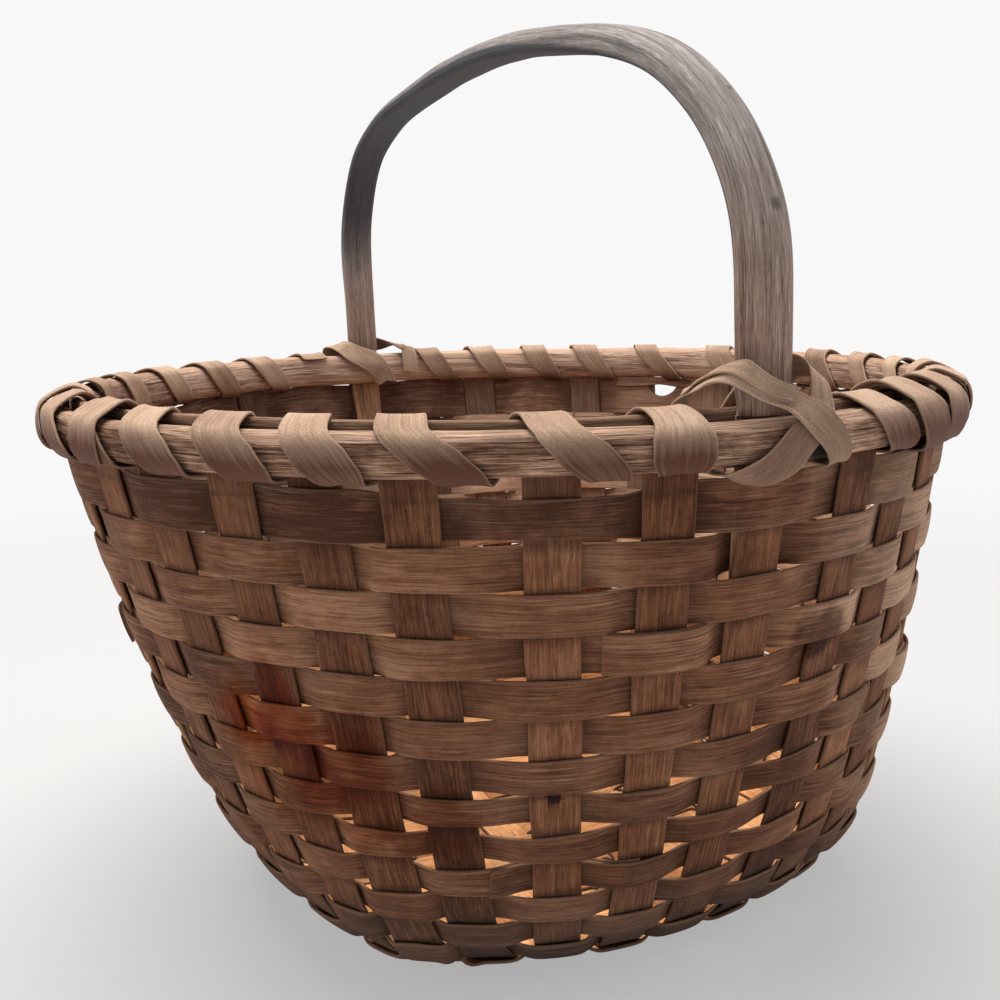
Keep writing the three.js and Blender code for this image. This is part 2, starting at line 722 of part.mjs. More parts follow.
// The point at a length along the foot outline, and the direction out of the outline there
function outlinePlace({ corners, runs, whole }, length) {
  let left = ((length % whole) + whole) % whole;
  let low = 0;
  while (left > runs[low]) {
    left -= runs[low];
    low += 1;
  }
  const count = corners.length;
  const share = left / runs[low];
  const point = corners[low].clone().lerp(corners[(low + 1) % count], share);
  const normalOf = (place) => {
    const from = corners[(place + count) % count];
    const run = corners[(place + 1 + count) % count].clone().sub(from);
    return new THREE.Vector2(run.y, -run.x).normalize();
  };
  const beside = share < 0.5 ? normalOf(low - 1) : normalOf(low + 1);
  const normal = normalOf(low).lerp(beside, Math.abs(share - 0.5)).normalize();
  return { point, normal };
}

// One of the crossed bands at the foot that stands at a given angle on the rim
function footBand({ angle: footAngle, height, broadShare }, shares) {
  const line = new THREE.CatmullRomCurve3(shares.map(([run, corner]) => {
    const along = run * bandSpread;
    return new THREE.Vector3(along, lengthAtCorner(measuredOutline(along, height), corner), 0);
  }));
  const traits = new THREE.CatmullRomCurve3(
    shares.map(([, , width, layer]) => new THREE.Vector3(width, layer, 0)),
  );
  const toPoint = (place, offset) => {
    const { point, normal } = outlinePlace(measuredOutline(place.x, height), place.y);
    const angle = footAngle + place.x / rimRadius;
    return rimPoint(angle, point.x + normal.x * offset, point.y + normal.y * offset);
  };
  const sections = [];
  for (let station = 0; station <= bandStations; station++) {
    const share = station / bandStations;
    const heading = line.getTangent(share);
    const sideways = new THREE.Vector3(heading.y, -heading.x, 0);
    const trait = traits.getPoint(share);
    const near = trait.y * (lashThick + gap);
    const strands = [-1, 0, 1].map((side) => (
      moved(line.getPoint(share), sideways, (side * lashWidth * broadShare * trait.x) / 2)
    ));
    const outerSide = strands.map((strand) => toPoint(strand, near + lashThick));
    const innerSide = strands.map((strand) => toPoint(strand, near));
    sections.push([...outerSide, ...innerSide.reverse()]);
  }
  return loft(sections, false);
}

for (const foot of footPlaces) {
  addPiece(`${foot.side}_foot_lashing_over`, footBand(foot, overBandShares), finishes.lashing);
  addPiece(`${foot.side}_foot_lashing_under`, footBand(foot, foot.underShares), finishes.lashing);
}

export default root;
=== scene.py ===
# The looks of a round splint basket for gathering mushrooms, with one fixed bow handle.
# Everything is in metres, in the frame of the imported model: the floor is at height 0.
import math

import bmesh
import bpy
import numpy as np
from mathutils import Matrix, Vector


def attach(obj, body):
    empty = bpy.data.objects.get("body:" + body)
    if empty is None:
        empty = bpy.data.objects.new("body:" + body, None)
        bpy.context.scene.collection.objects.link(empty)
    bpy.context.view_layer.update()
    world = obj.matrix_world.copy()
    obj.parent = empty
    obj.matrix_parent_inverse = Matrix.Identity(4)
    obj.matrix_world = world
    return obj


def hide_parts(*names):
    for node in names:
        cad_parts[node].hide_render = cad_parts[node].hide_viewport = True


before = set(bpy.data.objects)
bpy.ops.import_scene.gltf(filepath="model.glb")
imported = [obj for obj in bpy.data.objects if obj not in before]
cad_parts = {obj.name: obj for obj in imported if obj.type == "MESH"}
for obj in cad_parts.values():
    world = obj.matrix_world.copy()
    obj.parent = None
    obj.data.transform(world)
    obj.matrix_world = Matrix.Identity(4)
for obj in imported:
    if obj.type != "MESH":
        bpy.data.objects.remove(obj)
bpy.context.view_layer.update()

# Camera: it stands where the photograph was taken, 42 cm from the middle of the rim and 34 mm over it.
# It looks past the handle's near foot, tipped down by 10.5 degrees and rolled by 1.3 degrees.
camera_bearing = math.radians(63.8)
camera_reach = 0.4184
camera_sidestep = -0.0018
camera_height = 0.211
camera_tip = 0.1835
camera_roll = -0.0227
to_right = Vector((math.cos(camera_bearing), math.sin(camera_bearing), 0))
to_camera = Vector((math.sin(camera_bearing), -math.cos(camera_bearing), 0))
sight = -to_camera * math.cos(camera_tip) - Vector((0, 0, math.sin(camera_tip)))
overhead = to_right.cross(sight)
camera_x = to_right * math.cos(camera_roll) + overhead * math.sin(camera_roll)
camera_y = overhead * math.cos(camera_roll) - to_right * math.sin(camera_roll)
camera_turn = Matrix((camera_x, camera_y, -sight)).transposed().to_4x4()
camera_place = to_camera * camera_reach + to_right * camera_sidestep
camera_place.z = camera_height
camera_data = bpy.data.cameras.new("photo_camera")
camera_data.sensor_width = 36
camera_data.lens = 42.593
camera_data.clip_start = 0.01
camera = bpy.data.objects.new("photo_camera", camera_data)
camera.matrix_world = Matrix.Translation(camera_place) @ camera_turn
bpy.context.scene.collection.objects.link(camera)
bpy.context.scene.camera = camera


# Floor and light: a pale floor under a soft overhead lamp, with a plain white sky all round.
# Seen by the camera the floor and the sky are white, and the floor keeps the basket's shadow.
class Value:
    """A shader socket that takes part in sums, so that shader maths reads as arithmetic."""

    def __init__(self, finish, socket):
        self.finish = finish
        self.socket = socket

    def sum(self, operation, first, second):
        return self.finish.add("ShaderNodeMath", {"operation": operation}, {0: first, 1: second})

    def __add__(self, other):
        return self.sum("ADD", self, other)

    def __radd__(self, other):
        return self.sum("ADD", other, self)

    def __sub__(self, other):
        return self.sum("SUBTRACT", self, other)

    def __rsub__(self, other):
        return self.sum("SUBTRACT", other, self)

    def __mul__(self, other):
        return self.sum("MULTIPLY", self, other)

    def __rmul__(self, other):
        return self.sum("MULTIPLY", other, self)


class Finish:
    """The nodes of one material or of the world, added one by one."""

    def __init__(self, owner):
        owner.use_nodes = True
        self.tree = owner.node_tree
        self.tree.nodes.clear()

    def add(self, kind, settings=None, inputs=None, output=0):
        node = self.tree.nodes.new(kind)
        for key, value in (settings or {}).items():
            if key == "stops":
                for place, (position, colour) in enumerate(value):
                    if place > 1:
                        node.color_ramp.elements.new(position)
                    node.color_ramp.elements[place].position = position
                    node.color_ramp.elements[place].color = colour
            else:
                setattr(node, key, value)
        for key, value in (inputs or {}).items():
            if isinstance(value, Value):
                self.tree.links.new(value.socket, node.inputs[key])
            else:
                node.inputs[key].default_value = value
        return Value(self, node.outputs[output]) if len(node.outputs) else node

    def mix(self, factor, first, second, blend="MIX"):
        settings = {"data_type": "RGBA", "blend_type": blend}
        return self.add("ShaderNodeMix", settings, {0: factor, 6: first, 7: second}, 2)

    def step(self, value, low, high):
        """0 up to low, 1 from high on, and smooth between."""
        settings = {"interpolation_type": "SMOOTHSTEP"}
        return self.add("ShaderNodeMapRange", settings, {0: value, 1: low, 2: high})


def shade(red, green, blue):
    """A colour as a picture shows it, turned into the linear colour that a shader takes."""
    parts = [part / 255 for part in (red, green, blue)]
    linear = [part / 12.92 if part <= 0.04045 else ((part + 0.055) / 1.055) ** 2.4 for part in parts]
    return (*linear, 1)


def link(name, data):
    piece = bpy.data.objects.new(name, data)
    bpy.context.scene.collection.objects.link(piece)
    return piece


floor_reach = 4
floor_drop = 0.0004
shown_white = 0.94
white_paint = (1, 1, 1, 1)
floor_work = bmesh.new()
bmesh.ops.create_grid(floor_work, x_segments=1, y_segments=1, size=floor_reach)
bmesh.ops.translate(floor_work, verts=floor_work.verts, vec=(0, 0, -floor_drop))
floor_mesh = bpy.data.meshes.new("floor")
floor_work.to_mesh(floor_mesh)
floor_work.free()
floor = link("floor", floor_mesh)
floor_material = bpy.data.materials.new("pale_floor")
floor_mesh.materials.append(floor_material)
paint = Finish(floor_material)
seen = paint.add("ShaderNodeLightPath")
matt = paint.add("ShaderNodeBsdfDiffuse", None, {0: shade(235, 235, 233)})
shown_matt = paint.add("ShaderNodeBsdfDiffuse", None, {0: shade(138, 138, 138)})
glow = paint.add("ShaderNodeEmission", None, {0: white_paint, 1: 0.4})
lit = paint.add("ShaderNodeAddShader", None, {0: shown_matt, 1: glow})
spot = paint.add("ShaderNodeTexCoord", None, None, 3)
away = paint.add("ShaderNodeVectorMath", {"operation": "LENGTH"}, {0: spot}, 1)
plain = paint.add("ShaderNodeEmission", None, {0: white_paint, 1: shown_white})
faded = paint.add("ShaderNodeMixShader", None, {0: paint.step(away, 0.3, 0.9), 1: lit, 2: plain})
top = paint.add("ShaderNodeMixShader", None, {0: seen, 1: matt, 2: faded})
clear = paint.add("ShaderNodeBsdfTransparent")
back = paint.add("ShaderNodeNewGeometry", None, None, 6)
both = paint.add("ShaderNodeMixShader", None, {0: back, 1: top, 2: clear})
paint.add("ShaderNodeOutputMaterial", None, {0: both})

sky = bpy.data.worlds.new("sky")
bpy.context.scene.world = sky
paint = Finish(sky)
path = paint.add("ShaderNodeLightPath").socket.node
rays = [Value(paint, path.outputs[name]) for name in ("Is Camera Ray", "Is Glossy Ray", "Is Transmission Ray")]
shown = rays[0] + rays[1] + rays[2]
soft = paint.add("ShaderNodeBackground", None, {0: shade(246, 248, 255), 1: 0.44})
white = paint.add("ShaderNodeBackground", None, {0: white_paint, 1: shown_white})
mixed = paint.add("ShaderNodeMixShader", None, {0: shown, 1: soft, 2: white})
paint.add("ShaderNodeOutputWorld", None, {0: mixed})

lamp_aim = Vector((0, 0, 0.12))
lamps = [
    ("overhead_lamp", (-0.2, -0.05, 1.25), 1.2, 31.0, (255, 250, 244)),
    ("left_lamp", (-0.33, -1.24, 0.55), 0.9, 2.7, (255, 248, 240)),
    ("right_lamp", (0.35, 1.25, 0.5), 0.8, 5.0, (255, 252, 248)),
]
for name, place, size, watts, colour in lamps:
    lamp = bpy.data.lights.new(name, "AREA")
    lamp.shape = "DISK"
    lamp.size = size
    lamp.energy = watts
    lamp.color = shade(*colour)[:3]
    lamp_piece = link(name, lamp)
    lamp_piece.location = place
    lamp_piece.rotation_euler = (lamp_aim - Vector(place)).to_track_quat("-Z", "Y").to_euler()
bpy.context.scene.view_settings.view_transform = "Standard"

# Base and uprights: sixteen flat splints split from a log, nine one way and seven the other. They go
# over and under each other in the base, turn up at its edge and stand in the wall as uprights.
rim_radius = 0.152
rim_height = 0.177
seat_gap = 0.0003
base_shift = np.array((0.007, 0.0165))
upright_width = 0.014
upright_thick = 0.0013
base_pitch = 0.0162
upright_end_drop = 0.001
base_middle = 0.00145
base_lift = 0.0007
crossing_step = 0.0008
saucer_rise = 0.009
saucer_flat = 0.028
saucer_reach = 0.092
outer_hoop_thick = 0.0055
outer_hoop_height = 0.0112
hoop_to_wall = 0.001
first_row_drop = 0.0045
last_row_inset = 0.003
row_count = 15
upright_count = 32
half_round = 16
wall_taper = 0.21
wall_shoulder = 1.28
wall_fullness = 3.46
wall_steps = 401
measured_upright = -2.0
wall_top = rim_height - outer_hoop_height - hoop_to_wall
wall_foot = base_middle + base_lift
flat_share = math.cos(math.pi / (2 * upright_count))
wall_radius = (rim_radius - outer_hoop_thick) * flat_share - upright_thick / 2 - seat_gap
flat_radius = math.sqrt(wall_radius ** 2 - (upright_width / 2) ** 2)
drift_at = [-8, -7, -6, -5, -4, -3, -2, -1, 0, 1, 2, 3, 4, 10, 11, 12, 13, 14, 15]
drifts = [0, 0.27, 0.19, 0.15, 0.02, -0.16, 0.03, 0.06, 0, 0.18, 0.02, -0.12, 0, 0, 0.33, 0.28, 0.15, 0.05, 0]


def from_place(k, place=0):
    """How many uprights k lies round from a place on the rim, from -16 to 16."""
    return (k - place + half_round) % upright_count - half_round


def rim_angle(k):
    """The angle of upright number k on the rim, counted round from +X."""
    return (2 * math.pi / upright_count) * (k + np.interp(from_place(k), drift_at, drifts))


def base_edge(k):
    """Where upright number k leaves the rectangle of the woven base."""
    turn = (k + 4.5) % upright_count - 4.5
    half_x, half_y = 3.5 * base_pitch, 4.5 * base_pitch
    sides = [turn <= 4.5, turn <= 11.5, turn <= 20.5]
    x = np.select(sides, [half_x, (8 - turn) * base_pitch, -half_x], (turn - 24) * base_pitch)
    y = np.select(sides, [turn * base_pitch, half_y, (16 - turn) * base_pitch], -half_y)
    return x, y


def saucer(distance):
    share = np.maximum(0, distance - saucer_flat) / (saucer_reach - saucer_flat)
    return saucer_rise * share ** 2


def wall_at(k, spread, depth):
    x, y = base_edge(k)
    angle = rim_angle(k)
    foot = wall_foot + saucer(np.hypot(x, y))
    east = (x + base_shift[0]) * (1 - spread) + wall_radius * np.cos(angle) * spread
    north = (y + base_shift[1]) * (1 - spread) + wall_radius * np.sin(angle) * spread
    return np.stack((east, north, wall_top + (foot - wall_top) * depth), -1)


def steps_along(points):
    return np.linalg.norm(np.diff(points, axis=0), axis=1)


def runs_along(points):
    """How far along a line each of its points lies."""
    return np.append(0, np.cumsum(steps_along(points)))


wall_depths = 1 - (1 - np.linspace(0, 1, wall_steps)) ** 3
wall_spreads = (1 - wall_taper * wall_depths) * (1 - wall_depths ** wall_shoulder) ** (1 / wall_fullness)
wall_lengths = runs_along(wall_at(np.full(wall_steps, measured_upright), wall_spreads, wall_depths))
wall_length = wall_lengths[-1]
row_pitch = (wall_length - first_row_drop - last_row_inset) / row_count


def wall(k, length):
    """The middle of the wall at upright number k, a length down from the underside of the hoops."""
    spread = np.interp(length, wall_lengths, wall_spreads)
    depth = np.interp(length, wall_lengths, wall_depths) + np.minimum(0, length) / (wall_top - wall_foot)
    return wall_at(k, spread, depth)


def unit(vectors):
    return vectors / np.linalg.norm(vectors, axis=-1, keepdims=True)


def part_way(value, start, reach):
    """How far a value has come from start over a reach, from 0 to 1; a negative reach runs downwards."""
    return np.clip((value - start) / reach, 0, 1)


def column(values):
    return np.reshape(values, (-1, 1))


def wander(seed, run, wave):
    """A smooth, uneven swing between about -1 and 1 along a run, as hand work has."""
    dice = np.random.default_rng(seed)
    total = 0
    for share in (1, 0.53, 0.29):
        total = total + share * np.sin(2 * math.pi * run / (wave * share) + dice.uniform(0, 6.28))
    return total / 1.5


# The section of a splint: two flats and four rounded edges. Each row says how far a point lies along
# the width and the thickness, and how far round an edge.
flats = np.linspace(-1, 1, 9)
splint_section = np.array(
    [(side, 1, 0, 1) for side in flats]
    + [(1, 1, 0.7, 0.7), (1, 1, 1, 0), (1, -1, 1, 0), (1, -1, 0.7, -0.7)]
    + [(-side, -1, 0, -1) for side in flats]
    + [(-1, -1, -0.7, -0.7), (-1, -1, -1, 0), (-1, 1, -1, 0), (-1, 1, -0.7, 0.7)]
)
inner_side = (splint_section[:, 3] < -0.9)[None] * 1.0
lower_half = (splint_section[:, 1] < 0)[None] * 1.0


def splint_offsets(widths, thick):
    """How far each point of the section lies to the side and out, for each station of a splint."""
    edge = 0.4 * thick
    across = splint_section[:, 0] * (column(widths) / 2 - edge) + splint_section[:, 2] * edge
    out = splint_section[:, 1] * (thick / 2 - edge) + splint_section[:, 3] * edge
    return across, np.broadcast_to(out, across.shape)


def skin(name, rings, girth, length, marks):
    """A closed body: a flat grid that is rolled round the piece and laid along it, ring by ring."""
    stations, around = rings.shape[:2]
    spans = stations - 1
    mesh = bpy.data.meshes.new(name)
    work = bmesh.new()
    work.loops.layers.uv.new("grain")
    bmesh.ops.create_grid(work, x_segments=around, y_segments=spans, size=0.5, calc_uvs=True)
    work.to_mesh(mesh)
    work.free()
    places = np.empty(len(mesh.vertices) * 3)
    mesh.vertices.foreach_get("co", places)
    places = places.reshape(-1, 3)[:, :2]
    share = (places - places.min(0)) / (places.max(0) - places.min(0))
    spoke, ring = np.rint(share * (around, spans)).astype(int).T
    spoke = spoke % around
    mesh.vertices.foreach_set("co", rings[ring, spoke].ravel())
    for mark, values in marks.items():
        values = np.asarray(values, float)
        values = np.broadcast_to(column(values) if values.ndim == 1 else values, (stations, around))
        mesh.attributes.new(mark, "FLOAT", "POINT").data.foreach_set("value", values[ring, spoke])
    grain = mesh.uv_layers["grain"].data
    map_places = np.empty(len(grain) * 2)
    grain.foreach_get("uv", map_places)
    grain.foreach_set("uv", (map_places.reshape(-1, 2) * (girth, length)).ravel())
    work = bmesh.new()
    work.from_mesh(mesh)
    bmesh.ops.remove_doubles(work, verts=work.verts, dist=1e-7)
    rims = [edge for edge in work.edges if edge.is_boundary]
    bmesh.ops.holes_fill(work, edges=rims, sides=0)
    for edge in rims:
        edge.smooth = False
    bmesh.ops.recalc_face_normals(work, faces=work.faces)
    for face in work.faces:
        face.smooth = True
    work.to_mesh(mesh)
    work.free()
    return link(name, mesh)


def splint(name, middles, sides, widths, thick, marks, cup=0, edges=(0, 0)):
    """A flat splint laid along its middle line: sides points across it, and cup bows it outwards."""
    run = unit(np.gradient(middles, axis=0))
    out = unit(np.cross(run, sides))
    sides = np.cross(out, run)
    across, depth = splint_offsets(widths, thick)
    share = across / (column(widths) / 2)
    across = across + share * np.where(share > 0, column(edges[0]), column(edges[1]))
    depth = depth - column(cup) * share ** 2
    rings = middles[:, None] + sides[:, None] * across[..., None] + out[:, None] * depth[..., None]
    marks = {"inner": inner_side, "edge": np.abs(share), **marks}
    return skin(name, rings, 2 * float(np.mean(widths)) + 2 * thick, steps_along(middles).sum(), marks)


def fit(piece, node, material):
    piece.data.materials.append(material)
    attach(piece, "root")
    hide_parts(node)


class Wood(Finish):
    """The nodes of a wood: its place, the marks on its points, and noise drawn out along its grain."""

    def __init__(self, name, marks):
        self.material = bpy.data.materials.new(name)
        super().__init__(self.material)
        self.marks = [self.add("ShaderNodeAttribute", {"attribute_name": mark}, None, 2) for mark in marks]
        self.grain = self.add("ShaderNodeUVMap", {"uv_map": "grain"})
        self.place = self.add("ShaderNodeTexCoord", None, None, 3)
        self.height = self.add("ShaderNodeSeparateXYZ", None, {0: self.place}, 2)

    def noise(self, along, across, detail, rough, source=None):
        scaled = self.add("ShaderNodeMapping", None, {0: source or self.grain, 3: (across, along, across)})
        settings = {"Vector": scaled, "Scale": 1.0, "Detail": detail, "Roughness": rough}
        return self.add("ShaderNodeTexNoise", None, settings)

    def coats(self, colour, *coats):
        """The colour under thin coats, each with its share of what is seen and its own colour."""
        for share, tint in coats:
            colour = self.mix(share, colour, shade(*tint))
        return colour

    def tones(self, value, colours, darkest=0.22):
        stops = [(at, shade(*colour)) for at, colour in zip((darkest, 0.5, 0.82), colours)]
        return self.add("ShaderNodeValToRGB", {"stops": stops}, {0: value})

    def blots(self, colour, spots, waver, core, share):
        """Stained places and painted shadows, each with its middle, its reach and the tint that it gives to what it
        covers.
        """
        for spot, reach, tint in spots:
            away = self.add("ShaderNodeVectorMath", {"operation": "DISTANCE"}, {0: self.place, 1: spot}, 1)
            blot = (1 - self.step(away + waver, reach * core, reach)) * share
            colour = self.mix(blot, colour, (*tint, 1), "MULTIPLY")
        return colour

    def finished(self, colour, rough, relief, bump, gloss):
        normal = self.add("ShaderNodeBump", None, {"Strength": bump, "Distance": 0.0007, "Height": relief})
        settings = {"Base Color": colour, "Roughness": rough, "Normal": normal, "Specular IOR Level": gloss}
        shader = self.add("ShaderNodeBsdfPrincipled", None, settings)
        self.add("ShaderNodeOutputMaterial", None, {0: shader})
        return self.material


# Stains on the front of the wall and on the hoop, and one painted shadow: the middle, the reach and the tint of each.
stains_and_shadow = [
    ((0.0787, -0.1093, 0.1066), 0.0098, (0.72, 0.3, 0.12)), ((0.0666, -0.1124, 0.0953), 0.0145, (0.8, 0.38, 0.11)),
    ((0.080, -0.106, 0.096), 0.0145, (0.66, 0.36, 0.17)), ((0.0894, -0.0942, 0.084), 0.019, (0.76, 0.46, 0.32)),
    ((0.0782, -0.1027, 0.084), 0.013, (0.85, 0.58, 0.42)), ((0.0885, -0.09, 0.0695), 0.015, (0.82, 0.62, 0.5)),
    ((0.0998, -0.0709, 0.0658), 0.016, (0.78, 0.6, 0.5)), ((0.1158, -0.0445, 0.0759), 0.0032, (0.16, 0.16, 0.22)),
    ((0.0690, -0.1060, 0.0790), 0.026, (0.86, 0.7, 0.54)), ((0.1318, 0.0302, 0.1146), 0.012, (0.34, 0.28, 0.26)),
    # The first spot on the next line, nearly black on the hoop beside the near foot, is a painted shadow of the
    # hollow under the foot bands.
    ((0.1521, 0.0105, 0.1688), 0.0095, (0.05, 0.04, 0.05)), ((0.0935, -0.0932, 0.0957), 0.0105, (0.76, 0.54, 0.4)),
]


def split_wood(
    name, outer_tones, inner_tones, spots=(), fibre=1.0, grey=0.15, grey_tone=(128, 112, 102), bump=0.5,
    crack_depth=0.35, edge_tone=(172, 138, 110), streaks=1.0, nap=0.2, wear_and_light_share=0.5, right_side_light=0.0,
    shade_tone=(40, 25, 18), thread_depth=0.0, gloss=0.2,
):
    """Split wood that has aged: fine fibres along the grain, streaks and greyed patches, with painted shade and
    painted light laid over them.
    """
    wood = Wood(name, ("seed", "inner", "edge", "painted_shade", "tone"))
    mix, step, noise, place, height = wood.mix, wood.step, wood.noise, wood.place, wood.height
    seed, inner, edge, painted_shade, tone = wood.marks
    jump = wood.add("ShaderNodeCombineXYZ", None, {0: seed * 3.17, 1: seed * 5.71, 2: seed * 9.13})
    wood.grain = wood.add("ShaderNodeVectorMath", {"operation": "ADD"}, {0: wood.grain, 1: jump})
    hair = noise(140, 5200 * fibre, 2.0, 0.6)
    fine = noise(60, 2500 * fibre, 3.0, 0.65)
    coarse = noise(22, 850 * fibre, 3.0, 0.6)
    bands = noise(11, 230 * fibre, 2.0, 0.5)
    mottle = noise(210, 420, 3.0, 0.65)
    clouds = noise(46, 46, 4.0, 0.62, place)
    specks = noise(1500, 1500, 2.0, 0.6, place)
    fuzz = noise(2300, 2300, 3.0, 0.7, place)
    lines = (hair - 0.5) * 0.8 + (fine - 0.5) * 0.95 + (coarse - 0.5) * 0.45
    lines = lines + (bands - 0.5) * 0.35 + (mottle - 0.5) * 0.35
    grain = 0.5 + lines * streaks + (fuzz - 0.5) * nap + (clouds - 0.5) * 0.5 + (tone - 0.5) * 0.6

    greyed = step(clouds + (fine - 0.5) * 0.5, 0.44, 0.7) * grey
    # Darker and greyer towards the bottom.
    darker_low_down = (1 - step(height + (clouds - 0.5) * 0.03, 0.008, 0.05)) * 0.55
    outside = wood.coats(wood.tones(grain, outer_tones), (greyed, grey_tone), (darker_low_down, (82, 74, 70)))
    # Painted light and painted shade below follow how far a point lies towards the right of the view.
    side = wood.add("ShaderNodeVectorMath", {"operation": "DOT_PRODUCT"}, {0: place, 1: (0.44, 0.9, 0)}, 1)
    # Painted light: the outside of the wood is paler towards the right, as if lit from that side.
    if right_side_light:
        toward_light = side + (height - 0.125) * 0.3 + (clouds - 0.5) * 0.03 + (tone - 0.5) * 0.02
        pale = mix(grain, shade(120, 90, 70), shade(206, 176, 150))
        outside = mix(step(toward_light, 0.073, 0.122) * right_side_light, outside, pale)

    # Inside, the wood is painted brighter and more orange low down, as painted light falling in from above, and
    # duller higher up. There the left carries painted shade and the right painted light.
    upper_inside = wood.tones(grain, [(122, 90, 72), (184, 146, 122), (222, 190, 166)])
    left_inside_shade = step(side + (clouds - 0.5) * 0.04, -0.004, -0.05) * 0.6
    upper_inside = wood.coats(upper_inside, (left_inside_shade, (40, 21, 17)), (step(side, 0.03, 0.07) * 0.3, (222, 184, 156)))
    inside = mix(step(height, 0.118, 0.05), upper_inside, wood.tones(grain, inner_tones))
    cracks = step(noise(34, 1700 * fibre, 2.0, 0.55), 0.6, 0.69)
    lined = step(noise(13, 55, 2.0, 0.5), 0.46, 0.6)
    threads = step(noise(24, 3200 * fibre, 2.0, 0.6), 0.5, 0.64) * (lined * 0.8 + 0.2)
    pale_threads = step(noise(38, 4100 * fibre, 2.0, 0.55), 0.58, 0.68) * lined
    # Lighter edges: real wear along the edges of splints and lashing, and on the hoops, whose top is marked as their
    # edge, a painted highlight.
    worn_and_lit = step(edge + (fine - 0.5) * 0.16, 0.9, 1.0) * wear_and_light_share * (1 - inner)
    # Painted shade: the wood is darkened in creases, behind other parts and under them, by its shade mark in its
    # shade tone.
    colour = wood.coats(
        mix(inner, outside, inside), (cracks * crack_depth, (44, 27, 20)), (threads * thread_depth, (46, 29, 22)),
        (pale_threads * thread_depth * 0.8, (172, 140, 118)), (painted_shade * (0.3 + coarse * 0.9) * 0.7, shade_tone),
        (worn_and_lit, edge_tone), (step(specks, 0.66, 0.74) * 0.14, (178, 150, 126)),
    )
    colour = wood.blots(colour, spots, (clouds - 0.5) * 0.02 + (fine - 0.5) * 0.006, 0.45, 1 - inner)
    relief = hair * 0.5 + fine * 0.9 + coarse * 0.8 + mottle * 0.4 + bands * 0.4
    relief = relief - cracks * 0.6 - threads * thread_depth
    return wood.finished(colour, 0.74 + fine * 0.2, relief, bump, gloss)


upright_wood = split_wood(
    "upright_split_wood", [(64, 36, 23), (111, 71, 49), (158, 115, 86)],
    [(150, 96, 58), (206, 148, 100), (240, 192, 142)], stains_and_shadow, fibre=0.85, grey=0.1, grey_tone=(120, 92, 76),
    bump=0.6, crack_depth=0.3, streaks=0.62, nap=0.3, wear_and_light_share=0.15, thread_depth=0.3, gloss=0.1,
)


def wave_out(k, row, half_gap):
    """How far out a weaver stands at k, from -1 inside an upright to 1 outside it."""
    swing = np.cos(math.pi * (k - row - 1))
    return np.tanh(swing * half_gap) / np.tanh(half_gap)


station_step = 0.0016
base_end_inset = 0.0012
tilt_reach = 0.001
easing_passes = 10


def wall_leg(k):
    """The middle line, the sides and the painted shade of an upright, from its cut end down to the base."""
    top_end = wall_top - rim_height + upright_end_drop
    lengths = np.arange(top_end, wall_length - last_row_inset, station_step)
    left, middles, right = [wall(np.full(len(lengths), k + shift), lengths) for shift in (-0.1, 0, 0.1)]
    rows = (lengths - first_row_drop) / row_pitch
    shown = -np.cos(math.pi * (np.floor(rows) + 1 + k))
    near_edge = np.abs((rows % 1) - 0.5) * 2
    # Painted shade: full where a weaver passes in front of the upright, growing towards the row edges where it is
    # open, and under the hoops at its top.
    painted_shade = np.where(shown > 0, 1.0, part_way(near_edge, 0.62, 0.38) ** 1.5)
    painted_shade = np.where(rows < 0, 1.0 if math.cos(math.pi * (1 + k)) < 0 else 0.4, painted_shade)
    return middles, unit(right - left), painted_shade


def smoothed(values, places, reach):
    """The values with each sharp turn at the given places drawn out over a few stations."""
    values = values.copy()
    for _ in range(easing_passes):
        soft = (values[:-2] + 2 * values[1:-1] + values[2:]) / 4
        for place in places:
            low, high = max(1, place - reach), min(len(values) - 1, place + reach)
            values[low:high] = soft[low - 1:high - 1]
    return values


def through_splint(name, number, ends, along, across, crossings, sign, tone, seed):
    start, start_sides, start_shade = wall_leg(ends[0])
    end, end_sides, end_shade = wall_leg(ends[1])
    reach = (crossings + 0.5) * base_pitch - base_end_inset
    runs = np.arange(-reach, reach, station_step)
    flat = column(runs) * along - sign * number * base_pitch * across
    distance = np.hypot(flat[:, 0], flat[:, 1])
    swing = sign * np.cos(math.pi * (runs / base_pitch + number))
    heights = base_middle + saucer(distance) + crossing_step * np.tanh(5 * swing)
    base = np.column_stack((flat + base_shift, heights))
    slope = (saucer(np.linalg.norm(flat + across * tilt_reach, axis=1)) - saucer(distance)) / tilt_reach
    base_sides = unit(np.column_stack((np.tile(across, (len(runs), 1)), slope)))
    joints = [len(start), len(start) + len(base)]
    middles = smoothed(np.vstack((start, base, end[::-1])), joints, 5)
    sides = unit(smoothed(np.vstack((start_sides, base_sides, -end_sides[::-1])), joints, 7))
    run = runs_along(middles)
    # Painted shade in the base too, deepest where a splint passes from over to under its neighbours.
    painted_shade = np.concatenate((start_shade, 0.35 + 0.4 * (1 - np.abs(swing)), end_shade[::-1]))
    edges = (0.00028 * wander(seed, run, 0.05), 0.00028 * wander(seed + 1, run, 0.06))
    marks = {"seed": seed * 0.137, "painted_shade": painted_shade, "tone": tone + 0.15 * wander(seed + 2, run, 0.4)}
    widths = upright_width + 0.0003 * wander(seed + 3, run, 0.2)
    return splint(name, middles, sides, widths, upright_thick, marks, edges=edges)


